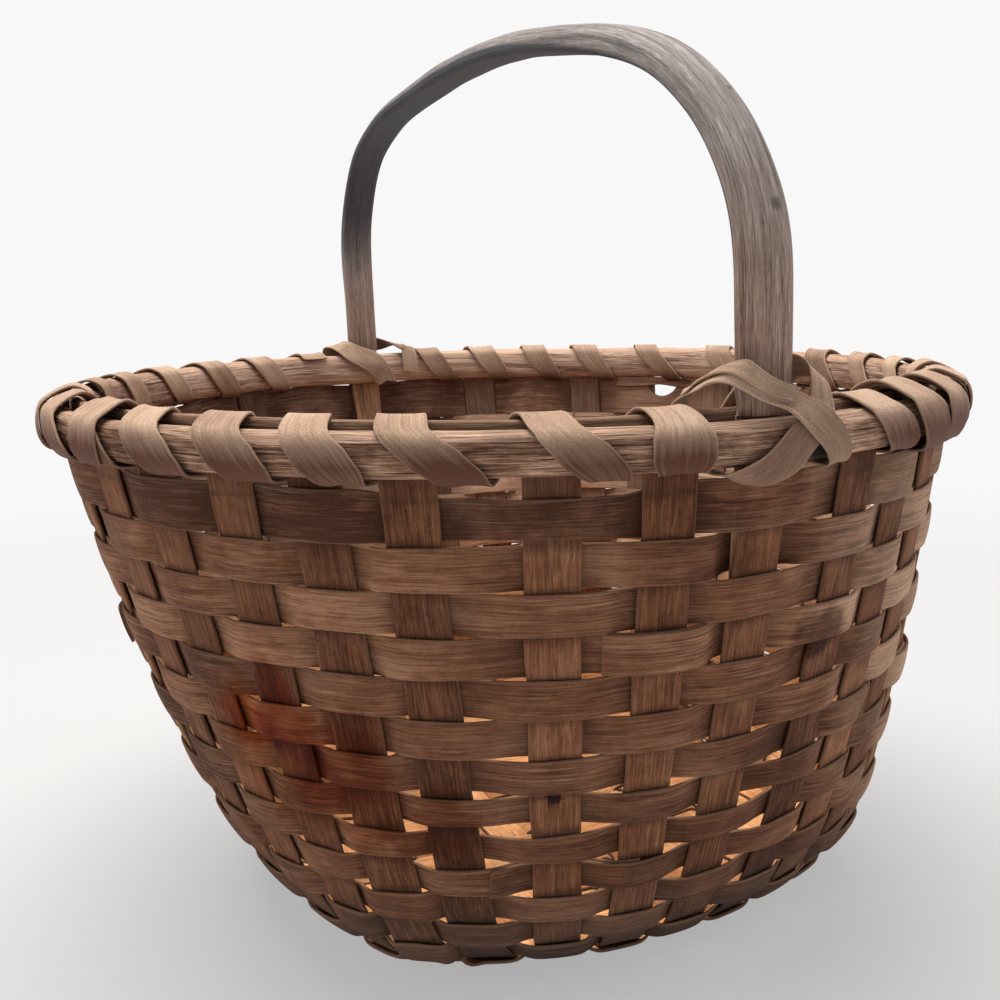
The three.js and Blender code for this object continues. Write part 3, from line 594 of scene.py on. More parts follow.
splint_sets = [
    ("lengthwise", 4, lambda place: (16 - place, place), (1.0, 0), (0, -1.0), 1,
     [0.36, 0.12, 0.54, 0.5, 0.4, 0.22, 0.44, 0.44, 0.56], 100),
    ("crosswise", 3, lambda place: (24 + place, 8 - place), (0, 1.0), (1.0, 0), -1,
     [0.3, 0.42, 0.56, 0.5, 0.46, 0.4, 0.36], 200),
]
for kind, last, ends, along, across, sign, tones, first_seed in splint_sets:
    for place in range(-last, last + 1):
        number = place + last + 1
        piece = through_splint(
            f"{kind}_strip_{number}", place, ends(place), np.array(along), np.array(across), 7 - last, sign,
            tones[number - 1], first_seed + 7 * number,
        )
        fit(piece, f"{kind}_splint_{number}", upright_wood)

# Weavers: fifteen rows of thinner, narrower splint that go over one upright and under the next. Each
# strip laps over its own start for two uprights, and each row is opposite to the one above it.
weaver_thick = 0.001
weaver_step = 0.00145
weaver_cup = 0.00035
lap_shares = 1.7
# The gap under each row in millimetres, and the places where a gap is wider: under which row, the
# middle and the reach counted in uprights, and how many millimetres more.
row_gaps = [0.5, 0.45, 0.4, 0.35, 0.35, 0.4, 0.5, 0.6, 0.6, 0.6, 0.5, 0.3, 0.1, 0, 0]
open_places = [
    (1, -2.1, 1.2, 1.7), (6, -2.5, 1, 0.7), (7, -3.5, 1, 1.3), (7, -2.5, 1, 1.5), (7, -1.5, 1, 1.2),
    (7, -0.5, 1, 0.9), (7, 0.5, 1, 1.2), (8, -4.5, 1, 2.2), (8, -3.5, 1, 3), (8, -2.5, 1, 4.2), (8, -1.5, 1, 1.6),
    (8, -0.5, 1, 2.6), (8, 0.5, 1, 3.8), (9, -4.5, 1, 1.2), (9, -3.4, 1, 3.8), (9, -2.5, 1, 1.2), (9, -1.5, 1, 1.4),
    (9, -0.5, 1, 1.8), (9, 0.5, 1, 2.6), (10, -4.5, 1, 2.6), (10, -2.5, 1, 1), (10, -1.5, 1, 2.2), (10, -0.5, 1, 2.4),
    (10, 0.5, 1, 1.2), (11, -1.4, 3.2, 0.9), (12, -1, 3.4, 0.4),
]
camera_side = -2.33
hole_place = 10.72
hole_spread = 0.045
hole_depth = 0.0088
near_rise = 0.0025
far_rise = 0.0053
lap_taper = 0.45
lap_clear = 0.00015
weaver_station = 0.055
# The first row's low tone holds a painted shadow of the hoops above it; the other rows' tones are their own.
row_tones = [0.12, 0.46, 0.56, 0.66, 0.38, 0.54, 0.36, 0.3, 0.42, 0.44, 0.42, 0.4, 0.38, 0.38, 0.38]
# Rows that show where they lap start at a known place, counted in uprights.
row_starts = {4: -1.55, 10: -2.7, 7: 2.4}
tail_rows = 4
tail_thick = 0.003
tail_tip_thick = 0.0014
# The weavers' wood takes the painted light towards the right.
weaver_wood = split_wood(
    "weaver_split_wood", [(65, 39, 26), (109, 71, 51), (154, 114, 88)],
    [(154, 100, 62), (210, 154, 106), (242, 196, 148)], stains_and_shadow, grey=0.18, grey_tone=(128, 102, 84), bump=0.45,
    crack_depth=0.25, streaks=0.65, nap=0.3, wear_and_light_share=0.3, right_side_light=0.6, thread_depth=0.5, gloss=0.1,
)


def soft_wall(k, length):
    """The wall with its corners near the base rounded off, as a weaver takes them."""
    return (wall(k - 0.3, length) + 2 * wall(k, length) + wall(k + 0.3, length)) / 4


def window(boundary, k):
    """How far the rows stand apart at a boundary: a little all round, more at the open places."""
    around = np.abs(from_place(k, camera_side))
    gap = row_gaps[boundary - 1] * np.clip((12 - around) / 3, -1.9, 1)
    for at, place, reach, extra in open_places:
        if at == boundary:
            near = np.clip(1 - np.abs(from_place(k, place)) / reach, 0, 1)
            gap = gap + extra * near * near * (3 - 2 * near)
    return gap * 0.001


def row_edges(row, k):
    """How far a row's upper and lower edges stand past their boundaries. The top row rises to the hoops."""
    if row == 1:
        far = part_way(np.abs(from_place(k, camera_side)), 9, 2)
        hole = np.sqrt(np.clip(1 - from_place(k, hole_place) ** 2 / hole_spread, 0, 1))
        turn = from_place(k)
        open_front = part_way(turn, -3.6, 0.6) * part_way(turn, -0.9, -0.5)
        raised = np.maximum(far_rise * far, near_rise * (1 - open_front))
        return raised - hole_depth * hole, -window(row, k)
    return -window(row - 1, k) / 2 if row > 2 else 0 * k, -window(row, k) / 2


def weaver(row):
    dice = np.random.default_rng(400 + row)
    start = row_starts.get(row, dice.uniform(8, 24))
    k = np.arange(start, start + upright_count + lap_shares, weaver_station)
    upper_length = first_row_drop + (row - 1) * row_pitch
    middle_length = upper_length + row_pitch / 2
    lengths = (upper_length, middle_length, upper_length + row_pitch)
    upper, middles, lower = [soft_wall(k, length) for length in lengths]
    run = runs_along(middles)
    pitch = np.linalg.norm(soft_wall(k + 0.5, middle_length) - soft_wall(k - 0.5, middle_length), axis=1)
    edge_share = np.cos(math.pi * np.minimum(0.46, upright_width / 2 / pitch))
    out = wave_out(k, row, 0.95 / edge_share)
    sides = unit(upper - lower)
    outwards = unit(np.cross(np.gradient(middles, axis=0), sides))
    step = (weaver_step + weaver_cup) * out
    holds_tail = (np.abs((k + 8) % 16 - 8) < 0.5) & (row <= tail_rows) & (out < 0)
    tail = tail_thick + (tail_tip_thick - tail_thick) * (row - 1) / tail_rows + seat_gap
    step = step - np.where(holds_tail, tail * -out, 0)
    over_lap = (weaver_thick + lap_clear) * (1 + out) / 2
    under_lap = (weaver_thick + lap_clear) * (1 - out) / 2
    to_start = part_way(k, start + lap_shares + lap_taper, -lap_taper)
    to_end = part_way(k - start - upright_count, -lap_taper, lap_taper)
    over_end, under_end = (to_start, to_end) if row in row_starts else (to_end, to_start)
    step = step + over_lap * over_end - under_lap * under_end
    middles = middles + outwards * step[:, None]
    facing = np.cos(2 * math.pi * (k - camera_side) / upright_count)
    sway = 0.0002 * wander(500 + row, run, 0.12) + 0.0003 * out * np.clip(2 * facing, -1, 1)
    middles = middles + sides * sway[:, None]
    upper_edge, lower_edge = row_edges(row, k)
    edges = (
        upper_edge + 0.00016 * wander(540 + row, run, 0.05), lower_edge + 0.00016 * wander(560 + row, run, 0.055),
    )
    # Painted shade: on the outer face where the weaver goes behind an upright, and on the inner face where it stands
    # out in front of one.
    hidden = column(part_way(out, 0.1, -0.9))
    painted_shade = hidden * (1 - inner_side) * 0.6 + (1 - hidden) * inner_side * 0.3
    tone = row_tones[row - 1] + 0.2 * wander(580 + row, run, 0.22)
    marks = {"seed": 1.3 + row * 0.71, "painted_shade": painted_shade, "tone": tone}
    tall = np.linalg.norm(upper - lower, axis=1)
    name = f"weaver_strip_{row:02d}"
    return splint(name, middles, sides, tall, weaver_thick, marks, cup=weaver_cup * out, edges=edges)


for row in range(1, row_count + 1):
    fit(weaver(row), f"weaver_row_{row:02d}", weaver_wood)

# Split edge: over the small hole a strip has split off the top weaver. It still lies under the hoops
# on the inner face of that weaver, from one upright to the next.
strip_drop = 0.0014
strip_width = 0.0046
strip_thick = 0.0008
strip_arch = 0.0012
arch_reach = 0.18
strip_clear = 0.0002
tilt_length = 0.002
k = np.arange(10.1, 11.4, 0.03)
middles = soft_wall(k, strip_drop)
sides = unit(soft_wall(k, strip_drop - tilt_length) - soft_wall(k, strip_drop + tilt_length))
outwards = unit(np.cross(np.gradient(middles, axis=0), sides))
step = (weaver_step + weaver_cup) * wave_out(k, 1, 2.4) - weaver_thick - strip_clear
arch = -strip_arch * np.exp(-((k - hole_place) / arch_reach) ** 2)
# Painted shade all along, as the strip lies under the hoops.
marks = {"seed": 2.9, "painted_shade": 0.5, "tone": 0.3}
strip = splint(
    "top_weaver_split_edge", middles + outwards * step[:, None], sides, np.full(len(k), strip_width), strip_thick,
    marks, edges=(0, arch),
)
fit(strip, "weaver_row_01", weaver_wood)

# Rim hoops: two rods split from the log and shaved, bent into rings with pared ends that lap. The
# outer one is half-round outside, the inner one half-round inside and a little higher.
inner_hoop_thick = 0.005
inner_hoop_height = 0.0132
inner_hoop_rise = 0.0022
scarf_length = 0.042
near_leg_width = 0.015
tail_bump_reach = 0.026
hoop_stations = 620
hoop_around = 44
hoop_girth = 0.034
pared_least = 0.1
pared_middle = 0.51
tail_bump = tail_thick + seat_gap
inner_hoop_radius = flat_radius - upright_thick / 2 - seat_gap
outer_shares = np.array(((0.53, 0), (0.86, 0.12), (1, 0.3), (1, 0.72), (0.78, 0.93), (0.45, 1)))
inner_shares = np.array(((0.36, 0), (0.84, 0.12), (1, 0.35), (1, 0.67), (0.84, 0.88), (0.36, 1)))
outer_round = ((1, 0) - outer_shares) * (outer_hoop_thick, outer_hoop_height)
inner_round = inner_shares * (inner_hoop_thick, -inner_hoop_height) + (0, inner_hoop_rise)
outer_section = np.vstack(((outer_hoop_thick, 0), outer_round, (outer_hoop_thick, -outer_hoop_height)))
inner_section = np.vstack(((0, inner_hoop_rise), inner_round, (0, inner_hoop_rise - inner_hoop_height)))


def hoop_bump(angle):
    """How far the inner hoop is pushed in where it passes the handle's two tails."""
    away = np.abs(np.sin(angle)) * wall_radius - near_leg_width / 2
    return tail_bump * (1 + np.cos(math.pi * part_way(away, 0, tail_bump_reach))) / 2


def rim_points(angle, radius, rise):
    return np.stack((radius * np.cos(angle), radius * np.sin(angle), rim_height + rise), -1)


def rounded(corners, around, passes):
    """A closed outline through the given corners, cut into even steps, with its corners eased."""
    ring = np.vstack((corners, corners[:1]))
    runs = runs_along(ring)
    at = np.linspace(0, runs[-1], around, endpoint=False)
    points = np.column_stack([np.interp(at, runs, ring[:, axis]) for axis in (0, 1)])
    for _ in range(passes):
        points = (np.roll(points, 1, 0) + 2 * points + np.roll(points, -1, 0)) / 4
    return points


def fibres(seed, around, run, swells):
    """Long shallow ridges that run with the grain, as a riven surface has."""
    dice = np.random.default_rng(seed)
    turn = np.linspace(0, 2 * math.pi, around, endpoint=False)
    total = 0
    for _ in range(swells):
        swell = dice.integers(3, 19) * turn + 2 * math.pi * column(run) / dice.uniform(0.05, 0.3)
        total = total + np.sin(swell + dice.uniform(0, 6.28)) / swells ** 0.5
    return total


def hoop(name, section, thick, start, bump, radius, round_outside, seed, far_side_light=0):
    lap = scarf_length / radius
    turn = 2 * math.pi + lap
    runs = np.linspace(0, turn, hoop_stations)
    tip = seat_gap / thick
    top, tall = section[:, 1].max(), np.ptp(section[:, 1])
    middle = top - pared_middle * tall
    shape = np.empty((hoop_stations, hoop_around, 2))
    for station, run in enumerate(runs):
        share, side, thins = 1, 0, False
        if run < lap:
            share, side, thins = tip + (1 - 2 * tip) * run / lap, thick, not round_outside
        if turn - run < lap:
            share, side, thins = tip / 2 + (1 - 2 * tip) * (turn - run) / lap, 0, round_outside
        kept = pared_least + (1 - pared_least) * share if thins else 1
        pared = np.column_stack((side + (section[:, 0] - side) * share, middle + (section[:, 1] - middle) * kept))
        shape[station] = rounded(pared, hoop_around, 2)
    angle = start + runs
    along = runs * radius
    full = column(part_way(np.minimum(runs, turn - runs), 0, lap))
    ridges = 0.00016 * fibres(seed, hoop_around, along, 12) * full
    shape = shape + unit(shape - shape.mean(1, keepdims=True)) * ridges[..., None]
    sway = 0.000175 * column(wander(seed + 1, along, 0.12)) * full
    shape[..., 0] += sway if round_outside else -sway
    shape[..., 1] += 0.00024 * column(wander(seed + 2, along, 0.2)) * full
    rings = rim_points(column(angle), radius - shape[..., 0] - column(bump(angle)), shape[..., 1])
    # The hoop's top is marked as its edge, and the lighter edge tone there is a painted highlight from above. The
    # inner hoop is painted lighter across the rim from the camera and darker near it.
    marks = {
        "seed": seed * 0.71, "inner": 0, "painted_shade": 0,
        "edge": 0.97 * part_way((top - shape[..., 1]) / tall, 0.27, -0.06),
        "tone": 0.5 + 0.14 * wander(seed + 3, along, 0.3) - far_side_light * np.cos(angle - rim_angle(camera_side)),
    }
    return skin(name, rings, hoop_girth, turn * radius, marks)


hoop_inner_tones = [(120, 74, 44), (172, 116, 76), (222, 166, 120)]
# The outer hoop's edge tone is the painted highlight on its top.
outer_wood = split_wood(
    "outer_hoop_riven_wood", [(66, 41, 30), (124, 89, 68), (206, 168, 141)], hoop_inner_tones, stains_and_shadow,
    fibre=0.8, bump=1.2, crack_depth=0.9, edge_tone=(214, 180, 154), streaks=1.1,
)
inner_wood = split_wood(
    "inner_hoop_riven_wood", [(76, 54, 45), (142, 112, 96), (202, 172, 152)], hoop_inner_tones,
    fibre=0.6, bump=0.8, crack_depth=0.5,
)
outer = hoop(
    "outer_rim_rod", outer_section, outer_hoop_thick, math.pi * 0.62, lambda angle: 0 * angle, rim_radius, True, 31,
)
fit(outer, "outer_rim_hoop", outer_wood)
inner = hoop(
    "inner_rim_rod", inner_section, inner_hoop_thick, math.pi * 1.32, hoop_bump, inner_hoop_radius, False, 47, 0.5,
)
fit(inner, "inner_rim_hoop", inner_wood)

# Handle: one bow, split and shaved with its grain, crowned outside and flatter inside. A shoulder on
# each foot stands on the hoops, and a thin tail runs down inside the wall behind four weavers.
far_leg_width = 0.013
leg_thick = 0.0078
top_thick = 0.009
handle_rise = 0.109
handle_bulge = 0.0039
leg_overhang = 0.004
tail_tip_width = 0.009
leg_blend = 0.006
handle_around = 40
handle_girth = 0.04
shoulder_slimming = 0.0034
leg_outer = rim_radius - leg_overhang
foot_radius = leg_outer - leg_thick / 2
handle_reach = foot_radius + handle_bulge
tail_outer = flat_radius - upright_thick / 2 - seat_gap
# The bow's middle line, as shares of its reach to the side and of its rise over the rim.
handle_shares = [
    (0.975, 0.2), (0.972, 0.363), (0.947, 0.506), (0.875, 0.643), (0.78, 0.762), (0.635, 0.872),
    (0.418, 0.942), (0.168, 0.985), (-0.1, 1), (-0.361, 0.98), (-0.627, 0.927), (-0.857, 0.818),
    (-0.975, 0.613), (-1, 0.429), (-0.985, 0.2),
]
handle_section = np.array((
    (-0.28, 0.5), (0.28, 0.5), (0.5, 0.14), (0.5, -0.34), (0.43, -0.5), (-0.43, -0.5), (-0.5, -0.34), (-0.5, 0.14),
))


def bend(p0, p1, p2, p3, share):
    """A smooth line from p1 to p2 that heads for its neighbours, for arrays of points."""
    def reach(a, b):
        return np.maximum(1e-9, np.sqrt(np.linalg.norm(b - a, axis=-1, keepdims=True)))

    d0, d1, d2 = reach(p0, p1), reach(p1, p2), reach(p2, p3)
    t1 = ((p1 - p0) / d0 - (p2 - p0) / (d0 + d1) + (p2 - p1) / d1) * d1
    t2 = ((p2 - p1) / d1 - (p3 - p1) / (d1 + d2) + (p3 - p2) / d2) * d1
    w = np.asarray(share)[..., None]
    return p1 + t1 * w + (3 * (p2 - p1) - 2 * t1 - t2) * w ** 2 + (2 * (p1 - p2) + t1 + t2) * w ** 3


def through(points, at):
    """Points on a smooth line through the given ones, where at runs from 0 to 1."""
    points = np.asarray(points, float)
    padded = np.vstack((2 * points[0] - points[1], points, 2 * points[-1] - points[-2]))
    place = np.clip(np.asarray(at, float), 0, 1) * (len(points) - 1)
    low = np.minimum(place.astype(int), len(points) - 2)
    return bend(padded[low], padded[low + 1], padded[low + 2], padded[low + 3], place - low)


handle_points = [(foot_radius, rim_height + leg_blend)]
handle_points += [(reach * handle_reach, rim_height + rise * handle_rise) for reach, rise in handle_shares]
handle_points += [(-foot_radius, rim_height + leg_blend)]
bow = through(handle_points, np.linspace(0, 1, 1201))
ease = np.exp(-np.linspace(-2.5, 2.5, 201) ** 2 / 2)
padded = [np.pad(bow[:, axis], 100, mode="reflect", reflect_type="odd") for axis in (0, 1)]
bow = np.column_stack([np.convolve(line, ease / ease.sum(), "valid") for line in padded])
bow_runs = runs_along(bow)


def bow_at(share):
    return [np.interp(share * bow_runs[-1], bow_runs, bow[:, axis]) for axis in (0, 1)]


def foot_stations(k, turn, width):
    """Middle, out direction, width and thickness of the tail and the shoulder, from the tip up."""
    stations = []
    for length in np.linspace(first_row_drop + tail_rows * row_pitch, 0, 26):
        share = max(0, length - first_row_drop) / (tail_rows * row_pitch)
        thick = tail_thick + (tail_tip_thick - tail_thick) * share
        at, below = wall(np.full(2, k), np.array((length, length + 0.002)))
        out = unit(np.array(((at[2] - below[2]) * turn, 0, (below[0] - at[0]) * turn)))
        flat = at - np.array((turn * (wall_radius - flat_radius), 0, 0))
        middle = flat - out * (upright_thick / 2 + seat_gap + thick / 2)
        stations.append((*middle, *out, width + (tail_tip_width - width) * share, thick))
    tail_inner = tail_outer - tail_thick
    for rise, inner, outer in (
        (seat_gap, tail_inner, tail_outer), (seat_gap * 1.2, tail_inner, leg_outer),
        (inner_hoop_rise + seat_gap, tail_inner, leg_outer), (leg_blend, leg_outer - leg_thick, leg_outer),
    ):
        middle = (turn * (inner + outer) / 2, 0, rim_height + rise)
        stations.append((*middle, turn, 0, 0, width, outer - inner))
    return stations


handle_stations = foot_stations(0, 1, near_leg_width)
for share in np.linspace(0, 1, 261)[3:-3]:
    (x, z), (next_x, next_z) = bow_at(share), bow_at(share + 0.002)
    out = unit(np.array((next_z - z, 0, x - next_x)))
    width = near_leg_width + (far_leg_width - near_leg_width) * share
    handle_stations.append((x, 0, z, *out, width, leg_thick + (top_thick - leg_thick) * math.sin(math.pi * share)))
handle_stations += foot_stations(16, -1, far_leg_width)[::-1]
handle_stations = np.array(handle_stations)
run = runs_along(handle_stations[:, :3])
height = handle_stations[:, 2:3]
side, out = rounded(handle_section, handle_around, 2).T
far_half = part_way(handle_stations[:, :1], 0.08, -0.08)
in_bow = part_way(height, rim_height + leg_blend, 0.02)
width = handle_stations[:, 6:7] * (1 + 0.02 * column(wander(71, run, 0.11)))
slimming = shoulder_slimming * far_half * part_way(height, 0.225, 0.03) * np.clip(0.1 - out, 0, 0.6)
ridges = 0.0001 * fibres(72, handle_around, run * 0.6, 9) * in_bow
sideways = side * width + np.sign(side) * ridges + 0.0006 * column(wander(74, run, 0.14)) * in_bow
outwards = out * handle_stations[:, 7:] + slimming + 0.00025 * column(wander(73, run, 0.1)) * in_bow
rings = handle_stations[:, None, :3] + sideways[..., None] * (0, 1, 0)
rings = rings + outwards[..., None] * handle_stations[:, None, 3:6]
# Painted shade: the handle's underside is darkened in a grey-blue, and the top of the far half is made darker and its
# lower part a little lighter.
under = np.clip((0.48 * far_half - 0.3 - out) * 8, 0, 1)
far_half_shade = 0.25 * far_half * np.clip((height - 0.232) / 0.03, -0.5, 1)
tone = 0.52 - far_half_shade + 0.1 * column(wander(75, run, 0.25))
marks = {"painted_shade": under * np.clip((height - 0.208) / 0.035, 0.1, 1), "tone": tone}
handle = skin("handle_bow_shaved", rings, handle_girth, run[-1], marks)

# The handle's wood is bare. Hands and weather have greyed it, and it is browner low down.
# Its underside and the top of its far half carry painted shade.
handle_blots = [
    ((0.1464, 0.0015, 0.2279), 0.0028, (0.42, 0.38, 0.36)), ((0.1474, -0.003, 0.2231), 0.0014, (0.3, 0.28, 0.28)),
    ((0.1257, 0.0025, 0.2574), 0.0016, (0.4, 0.36, 0.34)),
]
wood = Wood("handle_weathered_wood", ("painted_shade", "tone"))
painted_shade, tone = wood.marks
hair = wood.noise(200, 4600, 2.0, 0.6)
fine = wood.noise(80, 2200, 3.0, 0.65)
coarse = wood.noise(22, 620, 4.0, 0.6)
bands = wood.noise(7, 170, 2.0, 0.5)
clouds = wood.noise(34, 34, 4.0, 0.6, wood.place)
grain = 0.5 + (hair - 0.5) * 0.7 + (fine - 0.5) * 0.8 + (coarse - 0.5) * 0.8 + (bands - 0.5) * 0.5
grain = grain + (clouds - 0.5) * 0.4 + (tone - 0.5) * 0.5
grey = wood.tones(grain, [(78, 74, 72), (124, 117, 114), (170, 163, 159)], 0.2)
brown = wood.tones(grain, [(84, 62, 50), (140, 113, 98), (184, 156, 138)], 0.2)
tan = wood.tones(grain, [(104, 70, 48), (158, 116, 84), (200, 160, 124)], 0.2)
colour = wood.mix(wood.step(wood.height + (clouds - 0.5) * 0.06, 0.182, 0.262), brown, grey)
colour = wood.mix(wood.step(wood.height, 0.176, 0.166), colour, tan)
colour = wood.blots(colour, handle_blots, (hair - 0.5) * 0.001, 0.5, 1)
cracks = wood.step(wood.noise(14, 1500, 2.0, 0.5), 0.61, 0.69)
underside_shade = painted_shade * (0.88 + (clouds - 0.5) * 0.7)
colour = wood.coats(colour, (cracks * 0.65, (62, 52, 47)), (underside_shade, (55, 58, 68)))
relief = hair * 0.4 + fine * 0.8 + coarse * 0.9 - cracks * 0.9
fit(handle, "handle_bow", wood.finished(colour, 0.62 + fine * 0.25, relief, 0.75, 0.3))

# Rim lashing: a long thin splint, wet when it was wound, that goes round both hoops once for each
# upright and dips between them, with more plies at the rim's two ends. It dried papery and grey.
lash_thick = 0.0008
lash_width = 0.0125
lash_clear = 0.0005
# For each corner of the hoops' outline: how far round the rim, in uprights, and the share of the width.
lash_runs = [-0.03, 0.02, 0.08, 0.16, 0.34, 0.43, 0.47, 0.53, 0.57, 0.66, 0.8, 0.89, 0.94, 0.97]
lash_widths = [1, 1.04, 1.1, 1.25, 1.25, 0.98, 0.78, 0.72, 0.8, 1, 1.05, 1, 1, 1]
lash_substeps = 7
lash_step = 0.0034
ply_clear = 0.00012
lash_wood = split_wood(
    "lashing_splint_wood", [(106, 82, 66), (156, 129, 108), (200, 174, 152)],
    [(104, 70, 48), (150, 112, 84), (190, 152, 120)], fibre=1.7, grey=0.2, grey_tone=(142, 118, 102), bump=0.4,
    crack_depth=0.12, edge_tone=(190, 160, 136), streaks=0.55, nap=0.6, wear_and_light_share=0.25, shade_tone=(82, 51, 39),
)
lash_corners = np.vstack(
    ([(inner_hoop_radius, inner_hoop_rise)],
     np.column_stack((rim_radius - outer_round[:, 0], outer_round[:, 1])),
     np.column_stack((inner_hoop_radius - inner_round[:, 0], inner_round[:, 1]))[::-1])
)
wrap_corners = len(lash_corners)
follows_bump = np.array([1] + [0] * 6 + [1] * 6)
lash_edges = np.roll(lash_corners, -1, 0) - lash_corners
lash_normals = unit(np.column_stack((-lash_edges[:, 1], lash_edges[:, 0])))
corner_normals = unit(lash_normals + np.roll(lash_normals, 1, 0))
corner_reach = 1 / np.sum(corner_normals * lash_normals, axis=1)


def neighbours(corners, low):
    """The corner numbered low with the one before it and the two after it, on closed outlines."""
    picks = [((low + shift) % corners.shape[-2])[..., None, None] for shift in (-1, 0, 1, 2)]
    return [np.take_along_axis(corners, pick, -2)[..., 0, :] for pick in picks]


def lash_points(angle, step, lift):
    """Points on the line that the lashing follows round both hoops, lifted off them."""
    corners = lash_corners + corner_normals * (column(corner_reach) * lift[..., None, None])
    corners[..., 0] -= hoop_bump(angle)[..., None] * follows_bump
    low = np.floor(step).astype(int)
    place = bend(*neighbours(corners, low), step - low)
    return rim_points(angle, place[..., 0], place[..., 1])


def lashing(name, first_k, last_k, seed, shift=0, ply=0):
    wraps = last_k - first_k
    steps = np.arange(-2, wraps * wrap_corners + 5 + 1e-6, 1 / lash_substeps)
    turns = steps / wrap_corners
    corner = steps - np.floor(turns) * wrap_corners
    corner_numbers = np.arange(wrap_corners + 1)
    run = np.interp(corner, corner_numbers, lash_runs)
    run = np.where(steps > wraps * wrap_corners, lash_runs[1], run)
    soft = np.convolve(np.pad(first_k + np.floor(turns) + run, 4, mode="edge"), np.full(9, 1 / 9), "valid")
    dice = np.random.default_rng(seed)
    turn_numbers = np.arange(-1, wraps + 3)
    k = soft + shift + np.interp(turns, turn_numbers, dice.uniform(-0.05, 0.05, wraps + 4))
    widths = lash_width * np.interp(corner, corner_numbers, lash_widths)
    widths = widths * np.interp(turns, turn_numbers, dice.uniform(0.9, 1.12, wraps + 4))
    along = steps * lash_step
    across, depth = splint_offsets(widths, lash_thick)
    share = across / column(widths / 2)
    curl = 0.00028 * column(1 + wander(seed + 1, along, 0.05)) * np.abs(share) ** 3
    across = across + np.abs(share) * column(0.0003 * wander(seed + 2, along, 0.03))
    angle = column(rim_angle(k)) + across / rim_radius
    lift = lash_clear + lash_thick / 2 + depth + curl + ply * (lash_thick + ply_clear)
    rings = lash_points(angle, np.broadcast_to(column(steps) % wrap_corners, angle.shape), lift)
    # Painted shade on the lower front and underside of each wrap, and a little on its face against the hoops.
    low = part_way(corner, 2.2, 1.7) * part_way(corner, 9, -2)
    marks = {
        "seed": seed * 0.31, "inner": 0, "edge": np.abs(share),
        "painted_shade": column(2.1 * low * (1 + 0.2 * wander(seed + 4, along, 0.09))) + 0.3 * lower_half,
        "tone": 0.5 + 0.2 * wander(seed + 3, along, 0.12),
    }
    return skin(name, rings, 2 * lash_width, along[-1] - along[0], marks)


windings = [
    ("rim_lashing_front", "front_rim_binding", -15, -1, 611), ("rim_lashing_back", "back_rim_binding", 1, 15, 633),
    ("rim_lashing_back", "right_rim_second_ply", 2, 5, 671, -0.17, 1),
    ("rim_lashing_back", "right_rim_third_ply", 2, 3, 675, -0.33, 2),
    ("rim_lashing_front", "left_rim_second_ply", -9, -7, 683, 0.2, 1),
]
for node, *winding in windings:
    fit(lashing(*winding), node, lash_wood)

# Foot bands: at each foot of the handle the lashing crosses itself. One strand lies in front of the
# leg and runs down over the hoop; the other comes up from under the hoop and goes behind the leg.
# At the near foot a thin ply has split off the front strand, and the other one hangs a little lower.
near_band_height = 0.014
far_band_height = 0.0075
band_low_height = 0.004
band_shoulder = 0.009
band_spread = 0.022
band_soft_step = 0.0036
band_clear = 0.0012
band_droop = 0.0042
droop_place = -0.005
droop_reach = 0.0085
band_stations = 190
band_passes = 70
ply_narrower = 0.3
ply_aside = 0.0012
ply_layers = 1.2
# The bands' middle lines: how far along the rim as a share of the spread, the corner of the foot's
# outline, the share of the width, and the layers that lie underneath.
over_shares = [
    (-1, 8.5, 0.5, 0), (-1, 7.6, 0.5, 0), (-0.96, 6.9, 0.48, 0), (-0.86, 6.3, 0.48, 0.1),
    (-0.7, 5.6, 0.5, 0.3), (-0.55, 4.85, 0.5, 0.6), (-0.38, 4.45, 0.5, 1), (-0.18, 4.2, 0.5, 1.1),
    (0.1, 3.9, 0.52, 1.3), (0.28, 3.1, 0.58, 1.5), (0.48, 2.1, 0.64, 1.5), (0.65, 1.6, 0.64, 1.2),
    (0.75, 1.05, 0.6, 0.7), (0.79, 0.4, 0.56, 0.2), (0.79, -0.3, 0.55, 0),
]
under_front_shares = [
    (-0.66, -0.3, 0.62, 0), (-0.66, 0.2, 0.62, 0), (-0.6, 0.55, 0.74, 0), (-0.42, 0.86, 0.88, 0),
    (-0.2, 1.14, 0.94, 0), (0, 1.5, 0.92, 0), (0.19, 1.9, 0.84, 0), (0.36, 2.45, 0.76, 0),
    (0.5, 3, 0.68, 0), (0.57, 3.6, 0.6, 0), (0.6, 4.3, 0.55, 0), (0.6, 4.9, 0.55, 0),
]
near_under_shares = under_front_shares + [
    (0.58, 5.5, 0.55, 0), (0.54, 6, 0.55, 0), (0.42, 6.4, 0.6, 0), (0.2, 6.75, 0.65, 0),
    (-0.05, 7.2, 0.7, 0), (-0.26, 7.9, 0.7, 0), (-0.36, 8.6, 0.7, 0),
]
far_under_shares = under_front_shares + [
    (0.59, 5.5, 0.52, 0), (0.56, 6.2, 0.5, 0), (0.5, 6.9, 0.5, 0), (0.38, 7.35, 0.58, 0),
    (0.16, 7.65, 0.66, 0), (-0.08, 7.95, 0.7, 0), (-0.28, 8.35, 0.7, 0), (-0.38, 8.85, 0.7, 0),
]


